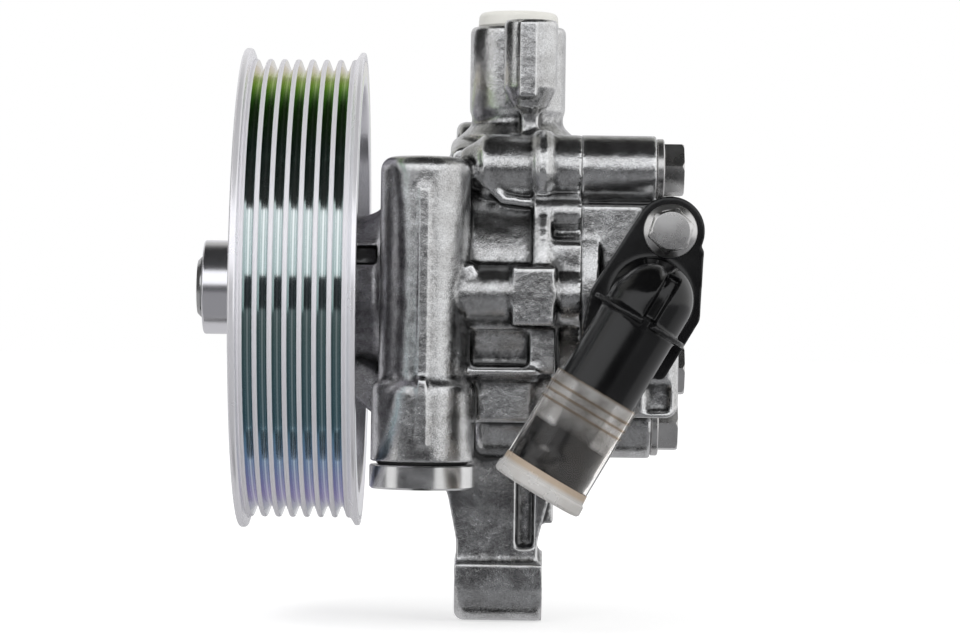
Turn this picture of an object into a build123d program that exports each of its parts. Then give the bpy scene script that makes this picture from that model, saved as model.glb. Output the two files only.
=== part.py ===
# Belt-driven vane pump for power steering: ribbed pulley, cast housings and the vane pump inside.
# Millimetres. +X runs along the shaft from pulley to rear cover, +Y away from the valve tower, +Z up.
# The origin is on the shaft axis, at the middle of the belt.
import math
import os

from build123d import *

os.makedirs("parts", exist_ok=True)

# Clearances, and how far a cut runs past a face
press_gap = 0.01
running_gap = 0.05
face_gap = 0.03
overrun = 1.0

# Belt pulley
groove_count = 7
groove_pitch = 3.56
crest_radius = 58.1
valley_radius = 55.35
crest_flat = 0.9
valley_flat = 0.6
front_lip_radius = 60.8
rear_lip_radius = 60.0
front_lip_width = 1.8
rear_lip_width = 1.1
lip_slope = 0.5
rim_width = 30.4
rim_wall = 3.2
web_wall = 3.0
web_setback = 1.8
web_dish = 3.0
web_cone_width = 10.0
hub_radius = 11.9
hub_stand_out = 10.0
hub_length = 17.5
hub_chamfer = 0.6

# Drive shaft, from its front end
shaft_front_radius = 7.7
shaft_end_stand_out = 1.6
seal_land_radius = 8.0
seal_land_lead = 1.0
seal_land_chamfer = 0.3
shaft_collar_radius = 10.0
shaft_collar_width = 2.5
bearing_bore_radius = 8.5
shaft_relief = 0.2
spline_root_radius = 7.0
spline_tip_radius = 7.9
spline_teeth = 12
spline_tooth_width = 1.8
spline_lead = 0.5
journal_radius = 6.45
shaft_end_chamfer = 0.9

# Stations along the shaft
nose_front = 5.0
seal_width = 7.0
seal_setback = 1.0
bearing_front = 22.0
bearing_width = 10.0
cavity_floor = 44.0
joint_x = 69.5
rear_face = 94.2
journal_end = 84.0

# Ball bearing
bearing_outer_radius = 17.5
bearing_ring_wall = 2.5
ball_radius = 2.38
ball_count = 10
race_gap = 0.07
cage_wall = 1.6
cage_width = 5.6
circlip_wall = 1.5
circlip_groove_depth = 1.2
circlip_land = 1.9
circlip_gap_width = 5.0

# Vane pump
plate_wall = 4.5
front_plate_gap = 0.5
cam_outer_radius = 28.0
cam_major_radius = 22.55
cam_minor_radius = 19.65
rotor_radius = 19.3
vane_count = 10
vane_wall = 1.4
vane_depth = 7.4
vane_tip_gap = 0.2
vane_tip_fillet = 0.63
slot_floor_radius = 11.5
slot_undercut_radius = 1.12
slot_gap = 0.03
vane_first_angle = 18.0
kidney_radius = 18.2
kidney_width = 3.4
kidney_sweep = 44.0
suction_angle = 218.0
pressure_angle = 135.0
dowel_radius = 1.5
dowel_circle_radius = 25.4
dowel_setback = 0.5
plate_bore_radius = 11.0
snap_ring_wall = 1.2
snap_ring_radius = 9.0
snap_ring_gap_width = 4.4
snap_ring_room = 0.5
snap_groove_depth = 0.55

# Shaft seal, bush and sealing rings
oil_seal_radius = 14.0
oil_seal_wall = 1.4
seal_disc_wall = 2.0
seal_lip_wall = 0.8
seal_lip_setback = 1.8
seal_collar_room = 0.6
bush_wall = 1.5
bush_length = 12.0
bush_setback = 1.5
o_ring_radius = 0.9
plate_ring_radius = 22.0
joint_ring_radius = 29.1

# Front housing: nose, core and crown
nose_radius = 18.5
nose_length = 10.0
nose_edge = 1.0
nose_shoulder_length = 3.5
nose_shoulder_height = 1.2
nose_neck_length = 6.0
nose_neck_height = 3.6
core_radius = 33.5
core_lead = 3.0
core_edge = 1.0
crown_radius = 39.2
crown_front = 37.0
crown_fillet = 3.0
crown_half_width = 17.0
cast_fillet = 2.4

# Web and lug under the nose
nose_web_half_width = 6.0
nose_web_fillet = 1.0
nose_web_setback = 6.0
nose_web_knee_depth = 8.0
nose_web_foot_depth = 12.8
nose_web_root_depth = 4.0
lug_notch_setback = 8.0
lug_notch_width = 6.0
lug_notch_low = 6.0
lug_notch_high = 10.6
lug_notch_depth = 6.5

# Cover bolts' bosses: place across the shaft, and where each boss ends
cover_bolt_radius = 4.0
boss_radius = 8.4
cover_bolts = {
    "valve_side_top": (-22.0, 30.4, 88.1),
    "valve_side_bottom": (-8.0, -33.3, 88.1),
    "far_side_bottom": (31.0, -20.0, 91.9),
    "far_side_top": (20.0, 31.5, 88.1),
}
boss_front = 44.0
boss_lead_length = 6.8
boss_lead_radius = 4.2

# Flange rib and the steps between it and the joint
flange_rib_front = 57.8
flange_rib_width = 4.4
flange_rib_height = 3.4
flange_rib_boss_height = 1.1
flange_rib_end_y = -16.0
flange_crest_front = 1.3
flange_crest_rear = 1.1
flange_crest_height = 0.7
step_high_radius = 4.6
step_high_y = -27.6
step_high_z = 19.2
step_low_face_y = -35.2
step_low_top = 12.6
step_low_fillet = 2.4

# Slanted ridge between the tower and the flange rib
ridge_face_y = -29.2
ridge_wall = 1.9
ridge_fillet = 0.5
ridge_start_x = 40.2
ridge_start_z = 31.8
ridge_knee_x = 50.4
ridge_knee_z = 22.4
ridge_end_z = 21.4

# Valve tower
tower_x = 31.2
tower_y = -30.0
tower_radius = 11.1
tower_top = 32.5
tower_top_fillet = 3.4
flare_radius = 12.75
flare_top = -22.0
flare_slope = 3.2
flare_ease = 0.4
tower_bottom = -42.3
tower_rib_width = 2.4
tower_rib_height = 0.5
tower_rib_top = 24.5
tower_rib_bottom = -38.5
tower_link_setback = 1.5
tower_link_drop = 5.0
tower_link_end_y = -9.0
spool_bore_radius = 8.0
spool_bore_top = 25.0

# Valve plug, spool and relief valve
plug_radius = 12.95
plug_height = 5.9
plug_edge = 0.5
plug_seat_edge = 0.3
plug_seat_gap = 0.8
plug_neck_radius = 9.5
plug_neck_length = 10.0
plug_socket = 10.0
plug_socket_depth = 3.2
plug_ring_pocket_depth = 1.3
spool_radius = 7.97
spool_length = 34.0
spool_waist_radius = 6.2
spool_waist_length = 10.0
spool_stop_height = 0.6
spool_stop_radius = 4.0
spool_spigot_radius = 4.6
spool_spigot_length = 5.0
spool_vent_radius = 1.0
relief_bore_radius = 3.2
relief_bore_depth = 23.0
relief_seat_length = 6.0
relief_orifice_radius = 1.2
relief_ball_radius = 2.2
relief_wire_radius = 0.35
relief_coil_radius = 1.9
relief_coil_pitch = 1.7
valve_wire_radius = 0.7
valve_coil_radius = 6.2
valve_coil_pitch = 3.2

# Outlet port
outlet_x = 53.73
outlet_y = -2.0
outlet_radius = 12.1
outlet_top = 66.7
outlet_bottom = 38.0
outlet_edge_fillet = 1.2
outlet_foot_depth = 8.0
outlet_foot_flare = 2.4
outlet_foot_height = 1.2
outlet_waist_depth = 0.6
outlet_waist_low = 4.2
outlet_waist_high = 6.2
outlet_bore_radius = 7.5
outlet_bore_depth = 22.0
outlet_drill_radius = 4.0

# Bolt boss beside the outlet port
outlet_bolt_x = 56.7
outlet_bolt_y = -20.0
outlet_bolt_boss_radius = 6.7
outlet_bolt_boss_top = 67.2
outlet_bolt_boss_edge = 0.6
outlet_bolt_boss_nose = 43.8
outlet_bolt_nose_tip = 1.8
outlet_bolt_nose_radius = 4.2
outlet_bolt_nose_round = 1.6
outlet_bolt_nose_length = 6.4
outlet_bolt_hole_radius = 2.5
outlet_bolt_hole_depth = 15.0
outlet_web_inset = 1.6
outlet_web_drop = 0.8
outlet_web_rise = 4.0
outlet_strip_front = 2.8
outlet_strip_rear = 1.4
outlet_strip_height = 0.3
outlet_rib_half_width = 2.05
outlet_rib_setback = 1.5
outlet_rib_depth = 4.0

# White push-in plug in the outlet
outlet_plug_radius = 10.15
outlet_plug_height = 3.8
outlet_plug_fillet = 1.6
outlet_plug_stem_length = 12.0
outlet_plug_stem_gap = 0.08
outlet_plug_wall = 1.6
outlet_plug_head_wall = 1.0

# Mounting ears
ear_bolt_radius = 4.25
ear_front = 39.3
ear_length = 22.2
ear_radius = 9.05
lower_ear_z = -74.7
upper_ear_y = 38.0
upper_ear_z = 36.0
upper_ear_stand_out = 1.2
upper_web_half_width = 7.2
upper_web_setback = 1.0
foot_height = 6.0

# Leg that carries the lower ear
leg_half_depth = 8.0
leg_fillet = 1.5
leg_top = -20.0
leg_root_lead = 3.0
leg_root_low = -43.0
leg_knee_inset = 0.5
leg_knee_z = -52.0
leg_shin_inset = 0.4
leg_ankle_z = -63.0
leg_heel_inset = 1.3
leg_knee_stand_out = 1.6
leg_root_stand_out = 2.6
leg_root_rear_z = -46.0
leg_recess_front = 6.8
leg_recess_rear = 2.4
leg_recess_depth = 1.6
leg_recess_top = -42.0
leg_recess_rise = 1.0
leg_rib_inset = 0.5
leg_rib_stand_out = 2.8
leg_rib_start_y = 2.0
leg_rib_low = -59.0
leg_rib_high = -40.0

# Flow gallery and gate pad on the valve side
gallery_radius = 7.75
gallery_z = -1.0
gallery_drill_radius = 3.0
gallery_cross_radius = 2.4
gallery_slope_front = 6.2
gallery_slope_rise = 3.1
gallery_slope_rear = 11.6
gallery_slope_inset = 1.2
gallery_slope_foot = 4.0
pad_front = 52.8
pad_length = 10.5
pad_low = -8.6
pad_high = 5.7
pad_height = 0.6

# Pocketed block under the gallery; the pocket's cores: inset front, inset rear, low, high, height
block_front = 41.0
block_rear = 63.5
block_face_y = -33.0
block_low = -20.6
ledge_lead = 1.0
ledge_tail = 1.8
ledge_height = 1.0
ledge_wall = 1.4
ledge_slope = 1.9
pocket_front = 42.6
pocket_rear = 57.2
pocket_low = -18.9
pocket_high = -9.6
pocket_depth = 8.0
pocket_fillet = 1.2
pocket_cores = {
    "upper": (0.9, 1.7, -13.8, -10.9, 3.4),
    "lower": (0.4, 0.7, -18.1, -15.0, 4.6),
}
panel_inset = 2.0
panel_face_y = -30.0
panel_low = -32.6
frame_inset = 3.0
frame_width = 13.8
frame_height = 0.5
frame_edge = 0.3
frame_drop = 2.4

# Rear housing
rear_body_radius = 26.2
rear_edge_fillet = 3.4
rear_flange_radius = 31.5
rear_flange_width = 4.6
rear_flat_y = -28.5
rear_block_back = -16.4
rear_block_low = -31.0
rear_block_high = 21.5
rear_panel_inset = 1.9
rear_panel_width = 6.4
rear_panel_low = -29.6
rear_panel_high = -22.4
rear_panel_depth = 1.2
pad_face_y = -32.5
pad_root_depth = 12.0
pad_fillet = 2.0
pad_lug_inset = 0.6
pad_front_edge = 13.9
pad_front_drop = 6.6
pad_knee = 11.9
pad_knee_rise = 1.9
pad_rear_edge = 11.2
pad_rear_drop = 4.1
pad_toe = 2.8
pad_toe_drop = 17.6
pad_lug_front = 6.07
pad_lug_rise = 3.1
pad_lug_rear = 7.13
pad_lug_drop = 0.9
cover_bolt_room = 0.4
suction_gallery_radius = 2.8
suction_gallery_offset = 14.0

# Suction elbow
port_x = 86.4
port_z = -1.9
port_bore_radius = 7.5
port_pocket_gap = 0.1
port_pocket_depth = 20.0
port_stub_wall = 1.3
port_stub_length = 7.0
flange_wall = 5.0
flange_fillet = 2.0
flange_front = 16.5
flange_front_drop = 8.1
flange_knee = 14.4
flange_knee_rise = 2.35
flange_rear = 12.2
flange_rear_drop = 4.9
flange_toe = 3.1
flange_toe_drop = 20.3
lug_shoulder = 8.4
lug_shoulder_drop = 4.0
lug_x = 91.07
lug_z = 14.9
lug_radius = 8.5
spigot_tilt = 30.3
spigot_axis_y = -48.0
spigot_radius = 9.9
spigot_wall = 2.2
spigot_length = 50.0
spigot_end_fillet = 0.8
spigot_bead_setback = 6.0
spigot_bead_width = 3.0
spigot_bead_height = 0.2
collar_station = 5.3
collar_radius = 12.4
collar_wall = 1.3

# Elbow bolt
elbow_bolt_radius = 3.0
elbow_bolt_room = 0.3
elbow_bolt_length = 17.0
elbow_bolt_flange_radius = 6.7
elbow_bolt_flange_wall = 1.4
elbow_bolt_hex = 10.0
elbow_bolt_hex_height = 4.6
elbow_bolt_turn = 14.0
elbow_bolt_dish_radius = 3.7
elbow_bolt_dish_depth = 0.4

# Cover bolts and washers
hex_corner_drop = 0.55
cover_bolt_hex = 12.0
cover_bolt_head_height = 4.9
cover_bolt_reach = 18.0
cover_bolt_turn = 24.0
washer_radius = 7.7
washer_wall = 1.9
washer_room = 0.3
washer_chamfer = 0.3

# Clear cap
cap_start = 25.6
cap_length = 28.8
cap_wall = 0.7
cap_gap = 0.1
cap_rim_radius = 11.75
cap_rim_length = 4.0
cap_rim_fillet = 0.5
cap_end_wall = 1.2
cap_ring_count = 3
cap_ring_start = 3.0
cap_ring_pitch = 2.1
cap_ring_width = 0.5
cap_ring_height = 0.25

# Values worked out from the sizes above
rim_front = -rim_width / 2
rim_rear = rim_width / 2
hub_front = rim_front - hub_stand_out
shaft_front = hub_front - shaft_end_stand_out
bearing_rear = bearing_front + bearing_width
bearing_middle = bearing_front + bearing_width / 2
inner_ring_radius = bearing_bore_radius + bearing_ring_wall
outer_ring_radius = bearing_outer_radius - bearing_ring_wall
ball_pitch_radius = (inner_ring_radius + outer_ring_radius) / 2
circlip_inner_radius = bearing_outer_radius - circlip_land
cam_front = cavity_floor + plate_wall
cam_rear = joint_x - plate_wall
rotor_front = cam_front + face_gap
rotor_rear = cam_rear - face_gap
cavity_radius = cam_outer_radius + press_gap
vane_rest_radius = cam_minor_radius - vane_tip_gap
plug_seat = tower_bottom - plug_seat_gap
plug_bottom = plug_seat - plug_height
plug_neck_top = plug_seat + plug_neck_length
spool_top = spool_bore_top - spool_stop_height
spool_bottom = spool_top - spool_length
ear_rear = ear_front + ear_length
spigot_sine = math.sin(math.radians(spigot_tilt))
spigot_cosine = math.cos(math.radians(spigot_tilt))
flange_face_y = pad_face_y - flange_wall
spigot_plane = Plane(
    origin=(port_x, spigot_axis_y, port_z),
    x_dir=(0, 1, 0),
    z_dir=(-spigot_sine, 0, -spigot_cosine),
)


# Simple solids
def bar(radius, length):
    return Cylinder(radius, length, align=(Align.CENTER, Align.CENTER, Align.MIN))


def rod_x(radius, low, high, y=0.0, z=0.0):
    return Pos(low, y, z) * Rot(0, 90, 0) * bar(radius, high - low)


def rod_y(radius, low, high, x, z):
    return Pos(x, low, z) * Rot(-90, 0, 0) * bar(radius, high - low)


def rod_z(radius, low, high, x, y):
    return Pos(x, y, low) * bar(radius, high - low)


def block(x_low, x_high, y_low, y_high, z_low, z_high):
    middle = Pos((x_low + x_high) / 2, (y_low + y_high) / 2, (z_low + z_high) / 2)
    return middle * Box(x_high - x_low, y_high - y_low, z_high - z_low)


def turned_x(points):
    return revolve(make_face(Polyline(*points, close=True)), Axis.X)


def turned_z(points, x, y):
    outline = Polyline(*[(radius, 0, z) for radius, z in points], close=True)
    return Pos(x, y, 0) * revolve(make_face(outline), Axis.Z)


def ring_x(outer, inner, low, high):
    return rod_x(outer, low, high) - rod_x(inner, low, high)


def o_ring_x(radius, x):
    return Pos(x, 0, 0) * Rot(0, 90, 0) * Torus(radius, o_ring_radius)


def along_spigot(radius, start, end):
    return spigot_plane.location * Pos(0, 0, start) * bar(radius, end - start)


def plate_y(points, corner_radius, y_low, y_high):
    outline = make_face(Polyline(*[(x, 0, z) for x, z in points], close=True))
    rounded = fillet(outline.vertices(), corner_radius)
    return Pos(0, y_high, 0) * extrude(rounded, y_high - y_low, dir=(0, -1, 0))


def prism_x(points, x_low, x_high):
    section = make_face(Polyline(*[(0, y, z) for y, z in points], close=True))
    return Pos(x_low, 0, 0) * extrude(section, x_high - x_low, dir=(1, 0, 0))


def around_x(radius, angle):
    turn = math.radians(angle)
    return radius * math.cos(turn), radius * math.sin(turn)


def kidney(angle, low, high):
    inner = kidney_radius - kidney_width / 2
    outer = kidney_radius + kidney_width / 2
    section = make_face(Polyline((low, inner), (high, inner), (high, outer), (low, outer), close=True))
    return Rot(angle - kidney_sweep / 2, 0, 0) * revolve(section, Axis.X, kidney_sweep)


def hexagon_prism(across_flats, height, turn):
    return Rot(0, 0, turn) * extrude(RegularPolygon(across_flats / 2, 6, major_radius=False), height)


def hex_head(across_flats, height, turn):
    corner = across_flats / math.sqrt(3)
    crown = Cone(corner + height, corner - hex_corner_drop, height + hex_corner_drop)
    crown_low = crown.bounding_box().min.Z
    return hexagon_prism(across_flats, height, turn) & (Pos(0, 0, -hex_corner_drop - crown_low) * crown)


# Pulley
def make_pulley():
    inner = valley_radius - rim_wall
    first_crest = groove_count * groove_pitch / 2
    outline = [
        (rim_front, inner),
        (rim_front, front_lip_radius - lip_slope),
        (rim_front + lip_slope, front_lip_radius),
        (rim_front + front_lip_width, front_lip_radius),
        (-first_crest - crest_flat / 2, crest_radius),
        (-first_crest + crest_flat / 2, crest_radius),
    ]
    for groove in range(groove_count):
        middle = (groove + 0.5) * groove_pitch - first_crest
        next_crest = middle + groove_pitch / 2
        outline += [
            (middle - valley_flat / 2, valley_radius),
            (middle + valley_flat / 2, valley_radius),
            (next_crest - crest_flat / 2, crest_radius),
            (next_crest + crest_flat / 2, crest_radius),
        ]
    outline += [
        (rim_rear - rear_lip_width, rear_lip_radius),
        (rim_rear - lip_slope / 2, rear_lip_radius),
        (rim_rear, rear_lip_radius - lip_slope),
        (rim_rear, inner),
    ]
    rim = turned_x(outline)
    web_front = rim_front + web_setback
    web_foot = hub_radius + web_cone_width
    web = turned_x(
        [
            (web_front, web_foot),
            (web_front, inner + rim_wall / 2),
            (web_front + web_wall, inner + rim_wall / 2),
            (web_front + web_wall, web_foot),
            (web_front - web_dish + web_wall, hub_radius - overrun),
            (web_front - web_dish, hub_radius - overrun),
        ]
    )
    hub = rod_x(hub_radius, hub_front, hub_front + hub_length)
    hub = chamfer(hub.edges().filter_by(GeomType.CIRCLE), hub_chamfer)
    body = rim + web + hub
    return body - rod_x(shaft_front_radius + press_gap, hub_front, hub_front + hub_length)


# Drive shaft, turned with a splined seat for the rotor
def make_drive_shaft():
    land_front = nose_front + seal_setback - seal_land_lead
    collar_front = bearing_front - shaft_collar_width
    groove_front = cam_rear + face_gap
    groove_rear = groove_front + snap_ring_wall + face_gap
    relief_radius = bearing_bore_radius - shaft_relief
    body = turned_x(
        [
            (shaft_front, 0),
            (shaft_front, shaft_front_radius - shaft_end_chamfer),
            (shaft_front + shaft_end_chamfer, shaft_front_radius),
            (land_front, shaft_front_radius),
            (land_front + seal_land_chamfer, seal_land_radius),
            (collar_front, seal_land_radius),
            (collar_front, shaft_collar_radius),
            (bearing_front, shaft_collar_radius),
            (bearing_front, bearing_bore_radius),
            (bearing_rear, bearing_bore_radius),
            (bearing_rear + shaft_relief, relief_radius),
            (cam_front - 2 * spline_lead, relief_radius),
            (cam_front - spline_lead, spline_root_radius),
            (groove_front, spline_root_radius),
            (groove_front, journal_radius - snap_groove_depth),
            (groove_rear, journal_radius - snap_groove_depth),
            (groove_rear, journal_radius),
            (journal_end - shaft_end_chamfer, journal_radius),
            (journal_end, journal_radius - shaft_end_chamfer),
            (journal_end, 0),
        ]
    )
    tooth_front = cam_front - spline_lead
    tooth_height = spline_tip_radius - spline_root_radius + overrun / 2
    tooth_bar = Box(groove_front - tooth_front, spline_tooth_width, tooth_height)
    tooth_place = Pos((tooth_front + groove_front) / 2, 0, spline_tip_radius - tooth_height / 2)
    for tooth in range(spline_teeth):
        body += Rot(360 / spline_teeth * tooth, 0, 0) * tooth_place * tooth_bar
    return body


# Ball bearing between the shaft and the front housing
def make_bearing_ring(outer, inner):
    ring = ring_x(outer, inner, bearing_front, bearing_rear)
    race = Pos(bearing_middle, 0, 0) * Rot(0, 90, 0) * Torus(ball_pitch_radius, ball_radius + race_gap)
    return ring - race


def ball_places():
    places = []
    for ball in range(ball_count):
        y, z = around_x(ball_pitch_radius, 360 / ball_count * ball)
        places.append(Pos(bearing_middle, y, z))
    return places


def make_bearing_balls():
    return Compound(children=[place * Sphere(ball_radius) for place in ball_places()])


def make_bearing_cage():
    half = cage_width / 2
    outer = ball_pitch_radius + cage_wall / 2
    inner = ball_pitch_radius - cage_wall / 2
    cage = ring_x(outer, inner, bearing_middle - half, bearing_middle + half)
    for place in ball_places():
        cage -= place * Sphere(ball_radius + race_gap)
    return cage


def make_bearing_circlip():
    front = bearing_rear + face_gap
    outer = bearing_outer_radius + circlip_groove_depth - running_gap
    clip = ring_x(outer, circlip_inner_radius, front, front + circlip_wall)
    half = circlip_gap_width / 2
    return clip - block(front, front + circlip_wall, -half, half, 0, outer + overrun)


# Lip seal between the nose and the shaft
def make_shaft_oil_seal():
    front = nose_front + seal_setback
    rear = front + seal_width
    lip = seal_land_radius + running_gap
    shell = oil_seal_radius - oil_seal_wall
    return turned_x(
        [
            (front, lip + 1.5 * seal_lip_wall),
            (front, oil_seal_radius),
            (rear, oil_seal_radius),
            (rear, shell),
            (front + seal_disc_wall, shell),
            (front + seal_disc_wall, lip + 3 * seal_lip_wall),
            (rear - seal_lip_wall, lip + 2 * seal_lip_wall),
            (rear - seal_lip_setback / 3, lip + seal_lip_wall),
            (rear - seal_lip_setback, lip),
            (front + 1.5 * seal_lip_wall, lip + seal_lip_wall),
        ]
    )


# Plain bush for the rear journal
def make_rear_bush():
    start = joint_x + bush_setback
    inner = journal_radius + running_gap
    return ring_x(inner + bush_wall, inner, start, start + bush_length)


# Dowel pins that line up the cam ring and both side plates
def dowel_places():
    return [(dowel_circle_radius, 0.0), (-dowel_circle_radius, 0.0)]


def make_cam_dowel_pins():
    start = cavity_floor + dowel_setback
    end = joint_x - dowel_setback
    return Compound(children=[rod_x(dowel_radius, start, end, y, z) for y, z in dowel_places()])


def drill_dowels(body, low, high):
    for y, z in dowel_places():
        body -= rod_x(dowel_radius + press_gap, low, high, y, z)
    return body


def make_cam_ring():
    ring = rod_x(cam_outer_radius, cam_front, cam_rear)
    track = extrude(Ellipse(cam_major_radius, cam_minor_radius), cam_rear - cam_front)
    ring -= Pos(cam_front, 0, 0) * Rot(0, 90, 0) * track
    return drill_dowels(ring, cam_front, cam_rear)


def cam_radius_at(angle):
    turn = math.radians(angle)
    across = cam_major_radius * math.cos(turn)
    along = cam_minor_radius * math.sin(turn)
    return cam_major_radius * cam_minor_radius / math.hypot(across, along)


def make_side_plate(low, high, bore_radius, kidney_angle):
    plate = ring_x(cam_outer_radius, bore_radius, low, high)
    plate -= kidney(kidney_angle, low, high)
    plate -= kidney(kidney_angle + 180, low, high)
    return drill_dowels(plate, low, high)


def make_rotor():
    rotor = rod_x(rotor_radius, rotor_front, rotor_rear)
    rotor -= rod_x(spline_root_radius + running_gap, rotor_front, rotor_rear)
    key_reach = spline_tip_radius + running_gap
    key = Box(rotor_rear - rotor_front, spline_tooth_width + 2 * running_gap, key_reach)
    middle = (rotor_front + rotor_rear) / 2
    for tooth in range(spline_teeth):
        rotor -= Rot(360 / spline_teeth * tooth, 0, 0) * Pos(middle, 0, key_reach / 2) * key
    slot_depth = rotor_radius + overrun - slot_floor_radius
    slot = Box(rotor_rear - rotor_front, slot_depth, vane_wall + 2 * slot_gap)
    for vane in range(vane_count):
        turn = Rot(vane_first_angle + 360 / vane_count * vane, 0, 0)
        rotor -= turn * Pos(middle, slot_floor_radius + slot_depth / 2, 0) * slot
        rotor -= turn * rod_x(slot_undercut_radius, rotor_front, rotor_rear, slot_floor_radius)
    return rotor


def make_vane(index):
    length = rotor_rear - rotor_front
    middle = (rotor_front + rotor_rear) / 2
    vane = Pos(middle, vane_rest_radius - vane_depth / 2, 0) * Box(length, vane_depth, vane_wall)
    tip_edges = vane.edges().filter_by(Axis.X).group_by(Axis.Y)[-1]
    vane = fillet(tip_edges, min(vane_tip_fillet, vane_wall * 0.45))
    return Rot(vane_first_angle + 360 / vane_count * index, 0, 0) * vane


def make_rotor_snap_ring():
    front = cam_rear + face_gap
    rear = front + snap_ring_wall
    inner = journal_radius - snap_groove_depth + running_gap
    half = snap_ring_gap_width / 2
    ring = ring_x(snap_ring_radius, inner, front, rear)
    return ring - block(front, rear, -half, half, 0, snap_ring_radius + overrun)


# Flow control spool with its relief valve, and the springs
def make_valve_spool():
    waist_low = spool_bottom + (spool_length - spool_waist_length) / 2
    waist_high = waist_low + spool_waist_length
    spigot_low = spool_bottom - spool_spigot_length
    spool = turned_z(
        [
            (0, spigot_low),
            (spool_spigot_radius, spigot_low),
            (spool_spigot_radius, spool_bottom),
            (spool_radius, spool_bottom),
            (spool_radius, waist_low),
            (spool_waist_radius, waist_low),
            (spool_waist_radius, waist_high),
            (spool_radius, waist_high),
            (spool_radius, spool_top),
            (spool_stop_radius, spool_top),
            (spool_stop_radius, spool_bore_top),
            (0, spool_bore_top),
        ],
        tower_x,
        tower_y,
    )
    spool -= rod_z(relief_bore_radius, spigot_low, spigot_low + relief_bore_depth, tower_x, tower_y)
    vent_z = (waist_low + waist_high) / 2
    vent_front = tower_x - spool_radius
    return spool - rod_x(spool_vent_radius, vent_front, tower_x + spool_radius, tower_y, vent_z)


def relief_seat_top():
    return spool_bottom - spool_spigot_length + relief_seat_length


def make_relief_seat():
    low = spool_bottom - spool_spigot_length
    seat = rod_z(relief_bore_radius - press_gap, low, relief_seat_top(), tower_x, tower_y)
    return seat - rod_z(relief_orifice_radius, low, relief_seat_top(), tower_x, tower_y)


def relief_ball_z():
    rise = math.sqrt(relief_ball_radius**2 - relief_orifice_radius**2)
    return relief_seat_top() + rise + press_gap


def make_relief_ball():
    return Pos(tower_x, tower_y, relief_ball_z()) * Sphere(relief_ball_radius)


def make_coil(low, high, coil_radius, wire_radius, pitch):
    height = high - low - 2 * wire_radius
    path = Helix(pitch, height, coil_radius)
    section = Plane(path @ 0, z_dir=path % 0) * Circle(wire_radius)
    return Pos(tower_x, tower_y, low + wire_radius) * sweep(section, path)


def make_relief_spring():
    touch_radius = relief_coil_radius - relief_wire_radius
    low = relief_ball_z() + math.sqrt(relief_ball_radius**2 - touch_radius**2) + press_gap
    high = spool_bottom - spool_spigot_length + relief_bore_depth
    return make_coil(low, high, relief_coil_radius, relief_wire_radius, relief_coil_pitch)


def make_valve_spring():
    low = plug_neck_top + press_gap
    high = spool_bottom - press_gap
    return make_coil(low, high, valve_coil_radius, valve_wire_radius, valve_coil_pitch)


def make_valve_plug():
    plug = turned_z(
        [
            (0, plug_bottom),
            (plug_radius - plug_edge, plug_bottom),
            (plug_radius, plug_bottom + plug_edge),
            (plug_radius, plug_seat - plug_seat_edge),
            (plug_radius - plug_seat_edge, plug_seat),
            (plug_neck_radius - press_gap, plug_seat),
            (plug_neck_radius - press_gap, plug_neck_top),
            (0, plug_neck_top),
        ],
        tower_x,
        tower_y,
    )
    socket = Pos(tower_x, tower_y, plug_bottom) * hexagon_prism(plug_socket, plug_socket_depth, 0)
    return plug - socket


def make_valve_plug_o_ring():
    radius = plug_neck_radius + o_ring_radius + running_gap
    return Pos(tower_x, tower_y, plug_seat + o_ring_radius) * Torus(radius, o_ring_radius)


# Front housing, one casting
def cast_boss_x(radius, front, rear, y, z):
    boss = rod_x(radius, front, rear, y, z)
    front_edge = boss.edges().filter_by(GeomType.CIRCLE).sort_by(Axis.X)[0]
    return fillet(front_edge, min(cast_fillet, radius / 3))


def make_core():
    nose_end = nose_front + nose_length
    return turned_x(
        [
            (nose_front, 0),
            (nose_front, nose_radius - nose_edge),
            (nose_front + nose_edge, nose_radius),
            (nose_end, nose_radius),
            (nose_end + nose_shoulder_length, nose_radius + nose_shoulder_height),
            (nose_end + nose_neck_length, nose_radius + nose_neck_height),
            (crown_front - core_lead, core_radius - core_edge),
            (crown_front - core_edge, core_radius),
            (joint_x, core_radius),
            (joint_x, 0),
        ]
    )


def make_crown():
    crown = rod_x(crown_radius, crown_front, joint_x)
    front_edge = crown.edges().filter_by(GeomType.CIRCLE).sort_by(Axis.X)[0]
    crown = fillet(front_edge, crown_fillet)
    half = crown_half_width
    return crown & block(crown_front, joint_x, -half, half, 0, crown_radius + overrun)


# The valve side's top boss starts in a cone that runs into the crown
def make_boss_lead():
    bolt_y, bolt_z = cover_bolts["valve_side_top"][:2]
    cone = Cone(boss_lead_radius, boss_radius, boss_lead_length)
    cone = Pos(boss_front - boss_lead_length / 2 + cast_fillet, bolt_y, bolt_z) * Rot(0, 90, 0) * cone
    root = block(
        boss_front - boss_lead_length + cast_fillet,
        boss_front + cast_fillet,
        bolt_y,
        bolt_y + boss_radius,
        bolt_z - boss_radius,
        bolt_z,
    )
    return cone + root


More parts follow.
